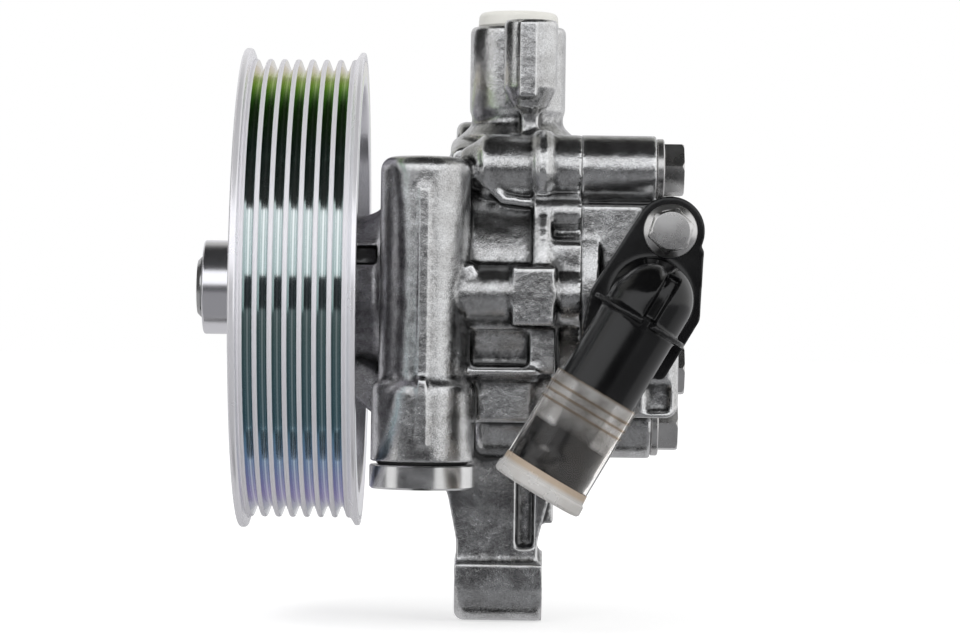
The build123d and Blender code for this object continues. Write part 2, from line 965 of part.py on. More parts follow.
def make_tower():
    tower = turned_z(
        [
            (0, tower_bottom),
            (flare_radius, tower_bottom),
            (flare_radius, flare_top - flare_slope),
            (flare_radius - flare_ease, flare_top - flare_slope / 2),
            (tower_radius, flare_top),
            (tower_radius, tower_top),
            (0, tower_top),
        ],
        tower_x,
        tower_y,
    )
    top_edge = tower.edges().filter_by(GeomType.CIRCLE).sort_by(Axis.Z)[-1]
    tower = fillet(top_edge, tower_top_fillet)
    half = tower_rib_width / 2
    for radius, low, high in (
        (tower_radius, flare_top, tower_rib_top),
        (flare_radius, tower_rib_bottom, flare_top),
    ):
        outer_y = tower_y - radius - tower_rib_height
        tower += block(tower_x - half, tower_x + half, outer_y, tower_y, low, high)
    link_half = tower_radius - tower_link_setback
    link_top = tower_top - tower_link_drop
    tower += block(
        tower_x - link_half, tower_x + link_half, tower_y, tower_link_end_y, flare_top, link_top
    )
    return tower


def make_flange_rib():
    rear = flange_rib_front + flange_rib_width
    bolt_y, bolt_z = cover_bolts["valve_side_top"][:2]
    rib_radius = core_radius + flange_rib_height
    rib_boss_radius = boss_radius + flange_rib_boss_height
    rib = rod_x(rib_radius, flange_rib_front, rear)
    rib += rod_x(rib_boss_radius, flange_rib_front, rear, bolt_y, bolt_z)
    crest_front = flange_rib_front + flange_crest_front
    crest_rear = rear - flange_crest_rear
    rib += rod_x(rib_radius + flange_crest_height, crest_front, crest_rear)
    rib += rod_x(rib_boss_radius + flange_crest_height, crest_front, crest_rear, bolt_y, bolt_z)
    return rib & block(
        flange_rib_front,
        rear,
        -core_radius * 2,
        flange_rib_end_y,
        pad_high - overrun,
        crown_radius + flange_crest_height,
    )


def make_joint_steps():
    high = rod_x(step_high_radius, flange_rib_front, joint_x, step_high_y, step_high_z)
    low = block(flange_rib_front, joint_x, step_low_face_y, 0, gallery_z, step_low_top)
    top_edge = low.edges().filter_by(Axis.X).group_by(Axis.Y)[0].sort_by(Axis.Z)[-1]
    return high + fillet(top_edge, step_low_fillet)


# Cast ridge that slants down from the crown to the flange rib
def make_ridge():
    half = ridge_wall / 2
    line = [
        (ridge_start_x, ridge_start_z),
        (ridge_knee_x, ridge_knee_z),
        (flange_rib_front + half, ridge_end_z),
    ]
    upper = [(x + half / 2, z + half) for x, z in line]
    lower = [(x - half / 2, z - half) for x, z in reversed(line)]
    return plate_y(upper + lower, ridge_fillet, ridge_face_y, ridge_face_y / 2)


def make_gallery():
    gallery = rod_x(gallery_radius, tower_x, joint_x, tower_y, gallery_z)
    top = gallery_z + gallery_radius
    slope = plate_y(
        [
            (tower_x, gallery_z - gallery_slope_foot),
            (tower_x, gallery_z + gallery_slope_rise),
            (tower_x + gallery_slope_front, gallery_z + gallery_slope_rise),
            (tower_x + gallery_slope_rear, top),
            (tower_x + gallery_slope_rear + gallery_slope_foot, gallery_z),
        ],
        ridge_fillet,
        tower_y - gallery_radius + gallery_slope_inset,
        tower_y,
    )
    pad = block(
        pad_front,
        pad_front + pad_length,
        tower_y - gallery_radius - pad_height,
        tower_y,
        pad_low,
        pad_high,
    )
    return gallery + slope + pad


def make_pocket_block():
    body = block(block_front, block_rear, block_face_y, 0, block_low, gallery_z)
    ledge_front = block_front - ledge_lead
    ledge_rear = pocket_rear + ledge_tail
    ledge_face_y = block_face_y - ledge_height
    frame_front = block_front + frame_inset
    frame_rear = frame_front + frame_width
    frame_low = panel_low + frame_edge
    frame_high = block_low - frame_drop
    body += block(ledge_front, ledge_rear, ledge_face_y, 0, block_low, block_low + ledge_wall)
    body += prism_x(
        [
            (ledge_face_y, block_low),
            (panel_face_y, block_low - ledge_slope),
            (0, block_low - ledge_slope),
            (0, block_low),
        ],
        ledge_front,
        ledge_rear,
    )
    body += block(block_front + panel_inset, block_rear, panel_face_y, 0, panel_low, block_low)
    body += block(frame_front, frame_rear, panel_face_y - frame_height, 0, frame_low, frame_high)
    floor = block_face_y + pocket_depth
    mouth = ledge_face_y - overrun
    pocket = block(pocket_front, pocket_rear, mouth, floor, pocket_low, pocket_high)
    body -= fillet(pocket.edges().filter_by(Axis.Y), pocket_fillet)
    for inset_front, inset_rear, low, high, height in pocket_cores.values():
        front = pocket_front + inset_front
        body += block(front, pocket_rear - inset_rear, floor - height, floor, low, high)
    return body


def make_leg():
    shin_front = ear_front + leg_shin_inset
    heel = ear_rear - leg_heel_inset
    outline = [
        (crown_front - leg_root_lead, leg_top),
        (crown_front - leg_root_lead, leg_root_low),
        (crown_front + leg_knee_inset, leg_knee_z),
        (shin_front, leg_ankle_z),
        (shin_front, lower_ear_z),
        (heel, lower_ear_z),
        (heel, leg_ankle_z),
        (ear_rear + leg_knee_stand_out, leg_knee_z),
        (ear_rear + leg_root_stand_out, leg_root_rear_z),
        (ear_rear + leg_root_stand_out, leg_top),
    ]
    leg = plate_y(outline, leg_fillet, -leg_half_depth, leg_half_depth)
    recess_front = ear_rear - leg_recess_front
    recess_rear = ear_rear - leg_recess_rear
    recess_low = lower_ear_z + ear_radius + leg_recess_rise
    recess_floor = leg_half_depth - leg_recess_depth
    side = leg_half_depth + overrun
    leg -= block(recess_front, recess_rear, -side, -recess_floor, recess_low, leg_recess_top)
    leg -= block(recess_front, recess_rear, recess_floor, side, recess_low, leg_recess_top)
    leg += block(
        ear_rear - leg_rib_inset,
        ear_rear + leg_rib_stand_out,
        leg_rib_start_y,
        leg_half_depth,
        leg_rib_low,
        leg_rib_high,
    )
    leg += cast_boss_x(ear_radius, ear_front, ear_rear, 0, lower_ear_z)
    foot_top = lower_ear_z + foot_height
    return leg + block(ear_front, ear_rear, -ear_radius, ear_radius, lower_ear_z, foot_top)


def make_upper_ear():
    front = ear_front - upper_ear_stand_out
    ear = cast_boss_x(ear_radius, front, ear_rear, upper_ear_y, upper_ear_z)
    reach = math.hypot(upper_ear_y, upper_ear_z)
    tilt = math.degrees(math.atan2(upper_ear_z, upper_ear_y))
    half = upper_web_half_width
    return ear + Rot(tilt, 0, 0) * block(ear_front, ear_rear - upper_web_setback, 0, reach, -half, half)


def make_outlet_boss():
    foot = outlet_radius + outlet_foot_flare
    waist = outlet_radius - outlet_waist_depth
    foot_top = outlet_bottom + outlet_foot_height
    boss = turned_z(
        [
            (0, outlet_bottom - outlet_foot_depth),
            (foot, outlet_bottom - outlet_foot_depth),
            (foot, foot_top),
            (outlet_radius + outlet_waist_depth, foot_top + outlet_waist_depth + overrun),
            (waist, outlet_bottom + outlet_waist_low),
            (waist, outlet_bottom + outlet_waist_high),
            (outlet_radius, outlet_bottom + outlet_waist_high + 2 * outlet_waist_depth),
            (outlet_radius, outlet_top),
            (0, outlet_top),
        ],
        outlet_x,
        outlet_y,
    )
    top_edge = boss.edges().filter_by(GeomType.CIRCLE).sort_by(Axis.Z)[-1]
    return fillet(top_edge, outlet_edge_fillet) + make_outlet_bolt_boss()


def make_outlet_bolt_boss():
    boss = turned_z(
        [
            (0, outlet_bolt_boss_nose),
            (outlet_bolt_nose_tip, outlet_bolt_boss_nose),
            (outlet_bolt_nose_radius, outlet_bolt_boss_nose + outlet_bolt_nose_round),
            (outlet_bolt_boss_radius, outlet_bolt_boss_nose + outlet_bolt_nose_length),
            (outlet_bolt_boss_radius, outlet_bolt_boss_top - outlet_bolt_boss_edge),
            (outlet_bolt_boss_radius - outlet_bolt_boss_edge, outlet_bolt_boss_top),
            (0, outlet_bolt_boss_top),
        ],
        outlet_bolt_x,
        outlet_bolt_y,
    )
    half = outlet_bolt_boss_radius - outlet_web_inset
    low = outlet_bolt_boss_nose + outlet_web_rise
    web = block(
        outlet_bolt_x - half,
        outlet_bolt_x + half,
        outlet_bolt_y,
        outlet_y,
        low,
        outlet_top - outlet_web_drop,
    )
    strip = block(
        outlet_bolt_x - outlet_strip_front,
        outlet_bolt_x + outlet_strip_rear,
        outlet_bolt_y - outlet_bolt_boss_radius - outlet_strip_height,
        outlet_bolt_y,
        low,
        outlet_bolt_boss_top - outlet_bolt_boss_edge,
    )
    rib = block(
        outlet_bolt_x - outlet_rib_half_width,
        outlet_bolt_x + outlet_rib_half_width,
        outlet_bolt_y - outlet_rib_setback,
        outlet_y,
        outlet_bottom - outlet_rib_depth,
        outlet_bolt_boss_nose + outlet_bolt_nose_length,
    )
    return boss + web + strip + rib


def make_nose_web():
    front = nose_front + nose_web_setback
    return plate_y(
        [
            (front, -nose_radius + nose_web_root_depth),
            (front + nose_edge, -nose_radius - nose_web_knee_depth),
            (front + core_lead + nose_web_root_depth, -nose_radius - nose_web_foot_depth),
            (crown_front, -core_radius - nose_web_root_depth),
            (crown_front, 0),
        ],
        nose_web_fillet,
        -nose_web_half_width,
        nose_web_half_width,
    )


def make_front_housing():
    body = make_core() + make_crown() + make_boss_lead()
    for bolt_y, bolt_z, _ in cover_bolts.values():
        body += cast_boss_x(boss_radius, boss_front, joint_x, bolt_y, bolt_z)
    body += make_ridge()
    body += make_pocket_block()
    body += make_leg()
    body += make_upper_ear()
    body += make_tower()
    body += make_gallery()
    body += make_flange_rib()
    body += make_joint_steps()
    body += make_outlet_boss()
    body += make_nose_web()
    notch_front = nose_front + lug_notch_setback
    body -= block(
        notch_front,
        notch_front + lug_notch_width,
        -nose_radius - nose_neck_height,
        -nose_radius + lug_notch_depth,
        lug_notch_low,
        lug_notch_high,
    )
    return cut_front_housing(body)


def cut_front_housing(body):
    seal_end = nose_front + seal_setback + seal_width
    body -= rod_x(oil_seal_radius + press_gap, nose_front - overrun, seal_end)
    body -= rod_x(shaft_collar_radius + seal_collar_room, seal_end - overrun, bearing_front)
    body -= rod_x(bearing_outer_radius + press_gap, bearing_front, cavity_floor)
    clip_outer = bearing_outer_radius + circlip_groove_depth
    body -= rod_x(clip_outer, bearing_rear, bearing_rear + circlip_wall + 2 * face_gap)
    body -= rod_x(cavity_radius, cavity_floor, joint_x + overrun)
    groove_half = o_ring_radius + running_gap
    body -= ring_x(
        plate_ring_radius + groove_half,
        plate_ring_radius - groove_half,
        cavity_floor - 2 * o_ring_radius - running_gap,
        cavity_floor + overrun,
    )
    for bolt_y, bolt_z, _ in cover_bolts.values():
        tip = joint_x - cover_bolt_reach - overrun
        body -= rod_x(cover_bolt_radius + press_gap, tip, joint_x + overrun, bolt_y, bolt_z)
    tower_start = tower_bottom - overrun
    body -= rod_z(spool_bore_radius, tower_start, spool_bore_top, tower_x, tower_y)
    body -= rod_z(plug_neck_radius, tower_start, plug_neck_top + overrun, tower_x, tower_y)
    ring_pocket = plug_neck_radius + 2 * o_ring_radius + 3 * running_gap
    ring_floor = tower_bottom + plug_ring_pocket_depth
    body -= rod_z(ring_pocket, tower_start, ring_floor, tower_x, tower_y)
    drill_end = pad_front + pad_length / 2
    body -= rod_x(gallery_drill_radius, tower_x, drill_end, tower_y, gallery_z)
    body -= rod_y(gallery_cross_radius, tower_y, 0, drill_end - gallery_drill_radius, gallery_z)
    bore_floor = outlet_top - outlet_bore_depth
    body -= rod_z(outlet_bore_radius, bore_floor, outlet_top + overrun, outlet_x, outlet_y)
    body -= rod_z(outlet_drill_radius, 0, bore_floor + overrun, outlet_x, outlet_y)
    hole_floor = outlet_bolt_boss_top - outlet_bolt_hole_depth
    hole_end = outlet_bolt_boss_top + overrun
    body -= rod_z(outlet_bolt_hole_radius, hole_floor, hole_end, outlet_bolt_x, outlet_bolt_y)
    ear_end = ear_rear + overrun
    body -= rod_x(ear_bolt_radius, ear_front - overrun, ear_end, 0, lower_ear_z)
    upper_front = ear_front - upper_ear_stand_out - overrun
    body -= rod_x(ear_bolt_radius, upper_front, ear_end, upper_ear_y, upper_ear_z)
    return body


# Rear housing, one casting
def suction_pad_outline():
    return [
        (port_x - pad_front_edge, port_z - pad_front_drop),
        (port_x - pad_knee, port_z + pad_knee_rise),
        (lug_x - pad_lug_front, lug_z + pad_lug_rise),
        (lug_x + pad_lug_rear, lug_z - pad_lug_drop),
        (port_x + pad_rear_edge, port_z - pad_rear_drop),
        (port_x + pad_toe, port_z - pad_toe_drop),
    ]


def make_rear_housing():
    body = rod_x(rear_body_radius, joint_x, rear_face)
    rear_edge = body.edges().filter_by(GeomType.CIRCLE).sort_by(Axis.X)[-1]
    body = fillet(rear_edge, rear_edge_fillet)
    lump = block(joint_x, rear_face, rear_flat_y, rear_block_back, rear_block_low, rear_block_high)
    body += fillet(lump.edges().group_by(Axis.X)[-1], rear_edge_fillet)
    body += rod_x(rear_flange_radius, joint_x, joint_x + rear_flange_width)
    for bolt_y, bolt_z, boss_end in cover_bolts.values():
        body += rod_x(boss_radius, joint_x, boss_end, bolt_y, bolt_z)
    pad_root = rear_flat_y + pad_root_depth
    body += rod_y(lug_radius - pad_lug_inset, pad_face_y, pad_root, lug_x, lug_z)
    body += plate_y(suction_pad_outline(), pad_fillet, pad_face_y, pad_root)
    panel_rear = rear_face - rear_panel_inset
    body -= block(
        panel_rear - rear_panel_width,
        panel_rear,
        rear_flat_y - overrun,
        rear_flat_y + rear_panel_depth,
        rear_panel_low,
        rear_panel_high,
    )
    return cut_rear_housing(body)


def cut_rear_housing(body):
    bush_radius = journal_radius + running_gap + bush_wall + press_gap
    start = joint_x - overrun
    body -= rod_x(bush_radius, start, journal_end + spline_lead)
    body -= rod_x(snap_ring_radius + snap_ring_room, start, joint_x + snap_ring_wall)
    groove_half = o_ring_radius + running_gap
    body -= ring_x(
        joint_ring_radius + groove_half,
        joint_ring_radius - groove_half,
        start,
        joint_x + 2 * o_ring_radius + running_gap,
    )
    stub_outer = port_bore_radius + port_stub_wall
    pad_start = pad_face_y - overrun
    pocket_end = pad_face_y + port_pocket_depth
    body -= rod_y(stub_outer + port_pocket_gap, pad_start, pocket_end, port_x, port_z)
    ring_room = 2 * o_ring_radius + 2 * running_gap
    body -= rod_y(stub_outer + ring_room, pad_start, pad_face_y + ring_room, port_x, port_z)
    gallery_y, gallery_bore_z = around_x(kidney_radius, suction_angle - suction_gallery_offset)
    gallery_end = port_x - stub_outer / 2
    body -= rod_x(suction_gallery_radius, start, gallery_end, gallery_y, gallery_bore_z)
    for bolt_y, bolt_z, boss_end in cover_bolts.values():
        hole_radius = cover_bolt_radius + cover_bolt_room
        body -= rod_x(hole_radius, start, boss_end + overrun, bolt_y, bolt_z)
    hole_end = flange_face_y + elbow_bolt_length + overrun
    body -= rod_y(elbow_bolt_radius + press_gap, pad_start, hole_end, lug_x, lug_z)
    return body


def make_housing_seal():
    return o_ring_x(joint_ring_radius, joint_x + o_ring_radius)


def make_side_plate_o_ring():
    return o_ring_x(plate_ring_radius, cavity_floor - o_ring_radius)


# Cover bolts and washers
def cover_bolt_place(bolt_y, bolt_z, boss_end):
    return Pos(boss_end + washer_wall, bolt_y, bolt_z) * Rot(0, 90, 0)


def make_cover_bolts():
    bolts = []
    for bolt_y, bolt_z, boss_end in cover_bolts.values():
        head = hex_head(cover_bolt_hex, cover_bolt_head_height, cover_bolt_turn)
        length = boss_end + washer_wall - joint_x + cover_bolt_reach
        shank = Pos(0, 0, -length) * bar(cover_bolt_radius, length)
        bolts.append(cover_bolt_place(bolt_y, bolt_z, boss_end) * (head + shank))
    return Compound(children=bolts)


def make_bolt_washers():
    washers = []
    for bolt_y, bolt_z, boss_end in cover_bolts.values():
        disc = bar(washer_radius, washer_wall) - bar(cover_bolt_radius + washer_room, washer_wall)
        rim = disc.edges().filter_by(GeomType.CIRCLE).sort_by(SortBy.RADIUS)[-2:]
        disc = chamfer(rim, washer_chamfer)
        washers.append(Pos(boss_end, bolt_y, bolt_z) * Rot(0, 90, 0) * disc)
    return Compound(children=washers)


# Suction elbow, one moulding, with its hollow bored through
def elbow_outline():
    return [
        (port_x - flange_front, port_z - flange_front_drop),
        (port_x - flange_knee, port_z + flange_knee_rise),
        (lug_x - lug_radius * 0.87, lug_z + lug_radius * 0.5),
        (lug_x, lug_z),
        (lug_x + lug_shoulder, lug_z - lug_shoulder_drop),
        (port_x + flange_rear, port_z - flange_rear_drop),
        (port_x + flange_toe, port_z - flange_toe_drop),
    ]


def make_suction_elbow():
    lug = rod_y(lug_radius, flange_face_y, pad_face_y, lug_x, lug_z)
    flange = lug + plate_y(elbow_outline(), flange_fillet, flange_face_y, pad_face_y)
    centre = (port_x, spigot_axis_y, port_z)
    dome = Pos(*centre) * Sphere(spigot_radius)
    throat = rod_y(spigot_radius, spigot_axis_y, flange_face_y, port_x, port_z)
    tube = along_spigot(spigot_radius, 0, spigot_length)
    end_edge = tube.edges().filter_by(GeomType.CIRCLE).sort_by(Axis.Z)[0]
    tube = fillet(end_edge, spigot_end_fillet)
    collar = along_spigot(collar_radius, collar_station, collar_station + collar_wall)
    bead_start = spigot_length - spigot_bead_setback
    bead_radius = spigot_radius + spigot_bead_height
    bead = along_spigot(bead_radius, bead_start, bead_start + spigot_bead_width)
    stub_end = pad_face_y + port_stub_length
    stub = rod_y(port_bore_radius + port_stub_wall, pad_face_y, stub_end, port_x, port_z)
    body = flange + throat + dome + tube + collar + bead + stub
    bore = spigot_radius - spigot_wall
    body -= along_spigot(bore, 0, spigot_length + overrun)
    body -= Pos(*centre) * Sphere(bore)
    body -= rod_y(port_bore_radius, spigot_axis_y, stub_end + overrun, port_x, port_z)
    bolt_hole = elbow_bolt_radius + elbow_bolt_room
    body -= rod_y(bolt_hole, flange_face_y - overrun, pad_face_y + overrun, lug_x, lug_z)
    return body


def make_elbow_o_ring():
    radius = port_bore_radius + port_stub_wall + o_ring_radius + running_gap
    place = Pos(port_x, pad_face_y + o_ring_radius + press_gap, port_z)
    return place * Rot(90, 0, 0) * Torus(radius, o_ring_radius)


def make_elbow_bolt():
    rim_wall_half = elbow_bolt_flange_wall / 2
    head_place = Pos(0, 0, rim_wall_half)
    flange = head_place * Cone(elbow_bolt_flange_radius, elbow_bolt_hex / 2, elbow_bolt_flange_wall)
    rim = bar(elbow_bolt_flange_radius, rim_wall_half)
    head = head_place * hex_head(elbow_bolt_hex, elbow_bolt_hex_height, elbow_bolt_turn)
    dish_floor = rim_wall_half + elbow_bolt_hex_height - elbow_bolt_dish_depth
    dish = Pos(0, 0, dish_floor) * bar(elbow_bolt_dish_radius, overrun)
    shank = Pos(0, 0, -elbow_bolt_length) * bar(elbow_bolt_radius, elbow_bolt_length)
    bolt = flange + rim + head + shank - dish
    return Pos(lug_x, flange_face_y, lug_z) * Rot(90, 0, 0) * bolt


# Clear transport cap over the spigot
def make_suction_cap():
    inner = spigot_radius + spigot_bead_height + cap_gap
    outer = inner + cap_wall
    end = cap_start + cap_length
    body = along_spigot(outer, cap_start, end)
    rim = along_spigot(cap_rim_radius, end - cap_rim_length, end)
    body += fillet(rim.edges().filter_by(GeomType.CIRCLE), cap_rim_fillet)
    for ring in range(cap_ring_count):
        start = cap_start + cap_ring_start + ring * cap_ring_pitch
        body += along_spigot(outer + cap_ring_height, start, start + cap_ring_width)
    return body - along_spigot(inner, cap_start - overrun, end - cap_end_wall)


# White push-in plug in the outlet
def make_outlet_plug():
    head = rod_z(outlet_plug_radius, outlet_top, outlet_top + outlet_plug_height, outlet_x, outlet_y)
    top_edge = head.edges().filter_by(GeomType.CIRCLE).sort_by(Axis.Z)[-1]
    head = fillet(top_edge, outlet_plug_fillet)
    stem_radius = outlet_bore_radius - outlet_plug_stem_gap
    stem_low = outlet_top - outlet_plug_stem_length
    stem = rod_z(stem_radius, stem_low, outlet_top, outlet_x, outlet_y)
    hollow_top = outlet_top - outlet_plug_head_wall
    stem -= rod_z(stem_radius - outlet_plug_wall, stem_low, hollow_top, outlet_x, outlet_y)
    return head + stem


pieces = {
    "pulley": make_pulley(),
    "drive_shaft": make_drive_shaft(),
    "front_housing": make_front_housing(),
    "rear_housing": make_rear_housing(),
    "housing_seal": make_housing_seal(),
    "bearing_outer_ring": make_bearing_ring(bearing_outer_radius, outer_ring_radius),
    "bearing_inner_ring": make_bearing_ring(inner_ring_radius, bearing_bore_radius + press_gap),
    "bearing_balls": make_bearing_balls(),
    "bearing_cage": make_bearing_cage(),
    "bearing_circlip": make_bearing_circlip(),
    "shaft_oil_seal": make_shaft_oil_seal(),
    "rear_bush": make_rear_bush(),
    "cam_ring": make_cam_ring(),
    "cam_dowel_pins": make_cam_dowel_pins(),
    "front_side_plate": make_side_plate(
        cavity_floor, cam_front, bearing_bore_radius + front_plate_gap, pressure_angle
    ),
    "rear_side_plate": make_side_plate(cam_rear, joint_x, plate_bore_radius, suction_angle),
    "side_plate_o_ring": make_side_plate_o_ring(),
    "rotor": make_rotor(),
    "rotor_snap_ring": make_rotor_snap_ring(),
    "valve_spool": make_valve_spool(),
    "valve_spring": make_valve_spring(),
    "valve_plug": make_valve_plug(),
    "valve_plug_o_ring": make_valve_plug_o_ring(),
    "relief_seat": make_relief_seat(),
    "relief_ball": make_relief_ball(),
    "relief_spring": make_relief_spring(),
    "cover_bolts": make_cover_bolts(),
    "bolt_washers": make_bolt_washers(),
    "suction_elbow": make_suction_elbow(),
    "elbow_o_ring": make_elbow_o_ring(),
    "elbow_bolt": make_elbow_bolt(),
    "suction_cap": make_suction_cap(),
    "outlet_plug": make_outlet_plug(),
}
for number in range(vane_count):
    pieces[f"vane_{number + 1:02d}"] = make_vane(number)

for name, solid in pieces.items():
    export_step(solid, f"parts/{name}.step")

for number in range(vane_count):
    angle = vane_first_angle + 360 / vane_count * number
    print(f"vane_{number + 1:02d}", "angle", angle, "cam radius", round(cam_radius_at(angle), 3))
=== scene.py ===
import math

import bmesh
import bpy
import numpy as np
from mathutils import Matrix, Vector


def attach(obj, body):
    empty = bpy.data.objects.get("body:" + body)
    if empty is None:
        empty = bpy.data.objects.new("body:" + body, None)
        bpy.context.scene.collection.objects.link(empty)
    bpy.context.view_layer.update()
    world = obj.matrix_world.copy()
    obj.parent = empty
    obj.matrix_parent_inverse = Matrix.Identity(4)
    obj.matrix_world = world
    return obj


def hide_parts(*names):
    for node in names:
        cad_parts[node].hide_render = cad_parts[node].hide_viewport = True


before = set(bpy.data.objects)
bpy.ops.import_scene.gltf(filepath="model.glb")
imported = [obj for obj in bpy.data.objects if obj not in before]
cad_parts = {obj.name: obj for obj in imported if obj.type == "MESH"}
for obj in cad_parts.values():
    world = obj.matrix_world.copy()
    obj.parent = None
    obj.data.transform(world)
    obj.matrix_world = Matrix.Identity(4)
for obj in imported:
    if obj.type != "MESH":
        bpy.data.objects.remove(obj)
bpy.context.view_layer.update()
print("frame loaded,", len(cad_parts), "nodes")

mm = 0.001
cloudSpan = (0.3, 0.7)  # where most of a noise lies


# Node helpers
def freshMaterial(name):
    material = bpy.data.materials.new(name)
    material.use_nodes = True
    return material, material.node_tree, material.node_tree.nodes["Principled BSDF"]


def objectPlace(tree):
    return tree.nodes.new("ShaderNodeTexCoord").outputs["Object"]


def stretched(tree, place, scale):
    mapping = tree.nodes.new("ShaderNodeMapping")
    mapping.inputs["Scale"].default_value = scale
    tree.links.new(place, mapping.inputs["Vector"])
    return mapping.outputs["Vector"]


def noise(tree, place, size, detail=3.0, rough=0.55):
    texture = tree.nodes.new("ShaderNodeTexNoise")
    texture.inputs["Scale"].default_value = 1 / size  # size of one blotch, in metres
    texture.inputs["Detail"].default_value = detail
    texture.inputs["Roughness"].default_value = rough
    tree.links.new(place, texture.inputs["Vector"])
    return texture.outputs["Fac"]


def ramp(tree, value, stops):
    node = tree.nodes.new("ShaderNodeValToRGB")
    elements = node.color_ramp.elements
    elements[0].position, elements[0].color = stops[0]
    elements[1].position, elements[1].color = stops[-1]
    for position, colour in stops[1:-1]:
        elements.new(position).color = colour
    tree.links.new(value, node.inputs["Fac"])
    return node.outputs["Color"]


def grey(value, warm=0.0):
    return (value * (1 + warm), value, value * (1 - warm), 1)


def fill(tree, socket, value):
    if isinstance(value, bpy.types.NodeSocket):
        tree.links.new(value, socket)
    else:
        socket.default_value = value


def mathNode(tree, operation, first, second=0.0):
    node = tree.nodes.new("ShaderNodeMath")
    node.operation = operation
    fill(tree, node.inputs[0], first)
    fill(tree, node.inputs[1], second)
    return node.outputs[0]


def added(tree, first, second):
    return mathNode(tree, "ADD", first, second)


def times(tree, first, second):
    return mathNode(tree, "MULTIPLY", first, second)


def larger(tree, first, second):
    return mathNode(tree, "MAXIMUM", first, second)


def vectorNode(tree, operation, place, other=(0, 0, 0)):
    node = tree.nodes.new("ShaderNodeVectorMath")
    node.operation = operation
    node.inputs[1].default_value = other
    tree.links.new(place, node.inputs[0])
    return node


def between(tree, value, low, high, outLow=0.0, outHigh=1.0):
    node = tree.nodes.new("ShaderNodeMapRange")
    node.inputs["From Min"].default_value = low
    node.inputs["From Max"].default_value = high
    node.inputs["To Min"].default_value = outLow
    node.inputs["To Max"].default_value = outHigh
    tree.links.new(value, node.inputs["Value"])
    return node.outputs["Result"]


def mixColours(tree, share, first, second):
    node = tree.nodes.new("ShaderNodeMix")
    node.data_type = "RGBA"  # its inputs 6 and 7 are the two colours
    for index, value in ((0, share), (6, first), (7, second)):
        fill(tree, node.inputs[index], value)
    return node.outputs[2]


def bump(tree, shader, *layers):
    normal = None
    for height, distance, strength in layers:
        node = tree.nodes.new("ShaderNodeBump")
        node.inputs["Distance"].default_value = distance
        node.inputs["Strength"].default_value = strength
        tree.links.new(height, node.inputs["Height"])
        if normal:
            tree.links.new(normal, node.inputs["Normal"])
        normal = node.outputs["Normal"]
    tree.links.new(normal, shader.inputs["Normal"])


def coordinate(tree, place, axis):
    split = tree.nodes.new("ShaderNodeSeparateXYZ")
    tree.links.new(place, split.inputs[0])
    return split.outputs[axis]


# Die-cast aluminium: blotched and speckled; its ridges are lightened for real wear and as a painted
# highlight, and its corners darkened as painted shade
castLook = {
    # noises: size of one blotch, detail, roughness
    "blotches": (7 * mm, 6.0, 0.7), "speckle": (0.34 * mm, 3.0, 0.7), "skin": (1.5 * mm, 4.0, 0.65),
    "wave": (4.5 * mm, 2.0, 0.5),
    "blotchColours": [(0.36, grey(0.40, 0.01)), (0.62, grey(0.74, -0.008))],
    "speckleColours": [(0.32, grey(0.08)), (0.5, grey(0.55)), (0.68, grey(0.95))],
    "speckleShare": 0.32, "roughness": (0.17, 0.30), "edgeScatter": 0.3,
    # ridges: lighter colour for wear and as a painted highlight where the edges catch the light
    "wornEdgeAndPaintedHighlight": {"from": 0.3, "full": 1.0, "share": 0.5, "colour": grey(0.90)},
    # sharp corners: dark colour painted in as shade
    "paintedCornerShade": {"from": -0.1, "full": -0.8, "share": 0.9, "colour": grey(0.06)},
    # bumps: height and strength
    "waveBump": (0.35 * mm, 0.5), "skinBump": (0.10 * mm, 0.6), "speckleBump": (0.035 * mm, 0.7),
}


def castAluminium():
    look = castLook
    material, tree, shader = freshMaterial("castAluminium")
    place = objectPlace(tree)
    blotches, speckle = noise(tree, place, *look["blotches"]), noise(tree, place, *look["speckle"])
    skin, wave = noise(tree, place, *look["skin"]), noise(tree, place, *look["wave"])
    colour = mixColours(
        tree, look["speckleShare"], ramp(tree, blotches, look["blotchColours"]),
        ramp(tree, speckle, look["speckleColours"]))
    edge = tree.nodes.new("ShaderNodeAttribute")
    edge.attribute_name = "edge"
    scatter = between(tree, skin, *cloudSpan, -look["edgeScatter"], look["edgeScatter"])
    broken = added(tree, edge.outputs["Fac"], scatter)
    # lighten the ridges (wear and painted highlight), then darken the corners (painted shade)
    for mark in (look["wornEdgeAndPaintedHighlight"], look["paintedCornerShade"]):
        share = times(tree, between(tree, broken, mark["from"], mark["full"]), mark["share"])
        colour = mixColours(tree, share, colour, mark["colour"])
    tree.links.new(colour, shader.inputs["Base Color"])
    tree.links.new(between(tree, blotches, *cloudSpan, *look["roughness"]), shader.inputs["Roughness"])
    shader.inputs["Metallic"].default_value = 1.0
    bump(tree, shader, (wave, *look["waveBump"]), (skin, *look["skinBump"]), (speckle, *look["speckleBump"]))
    return material


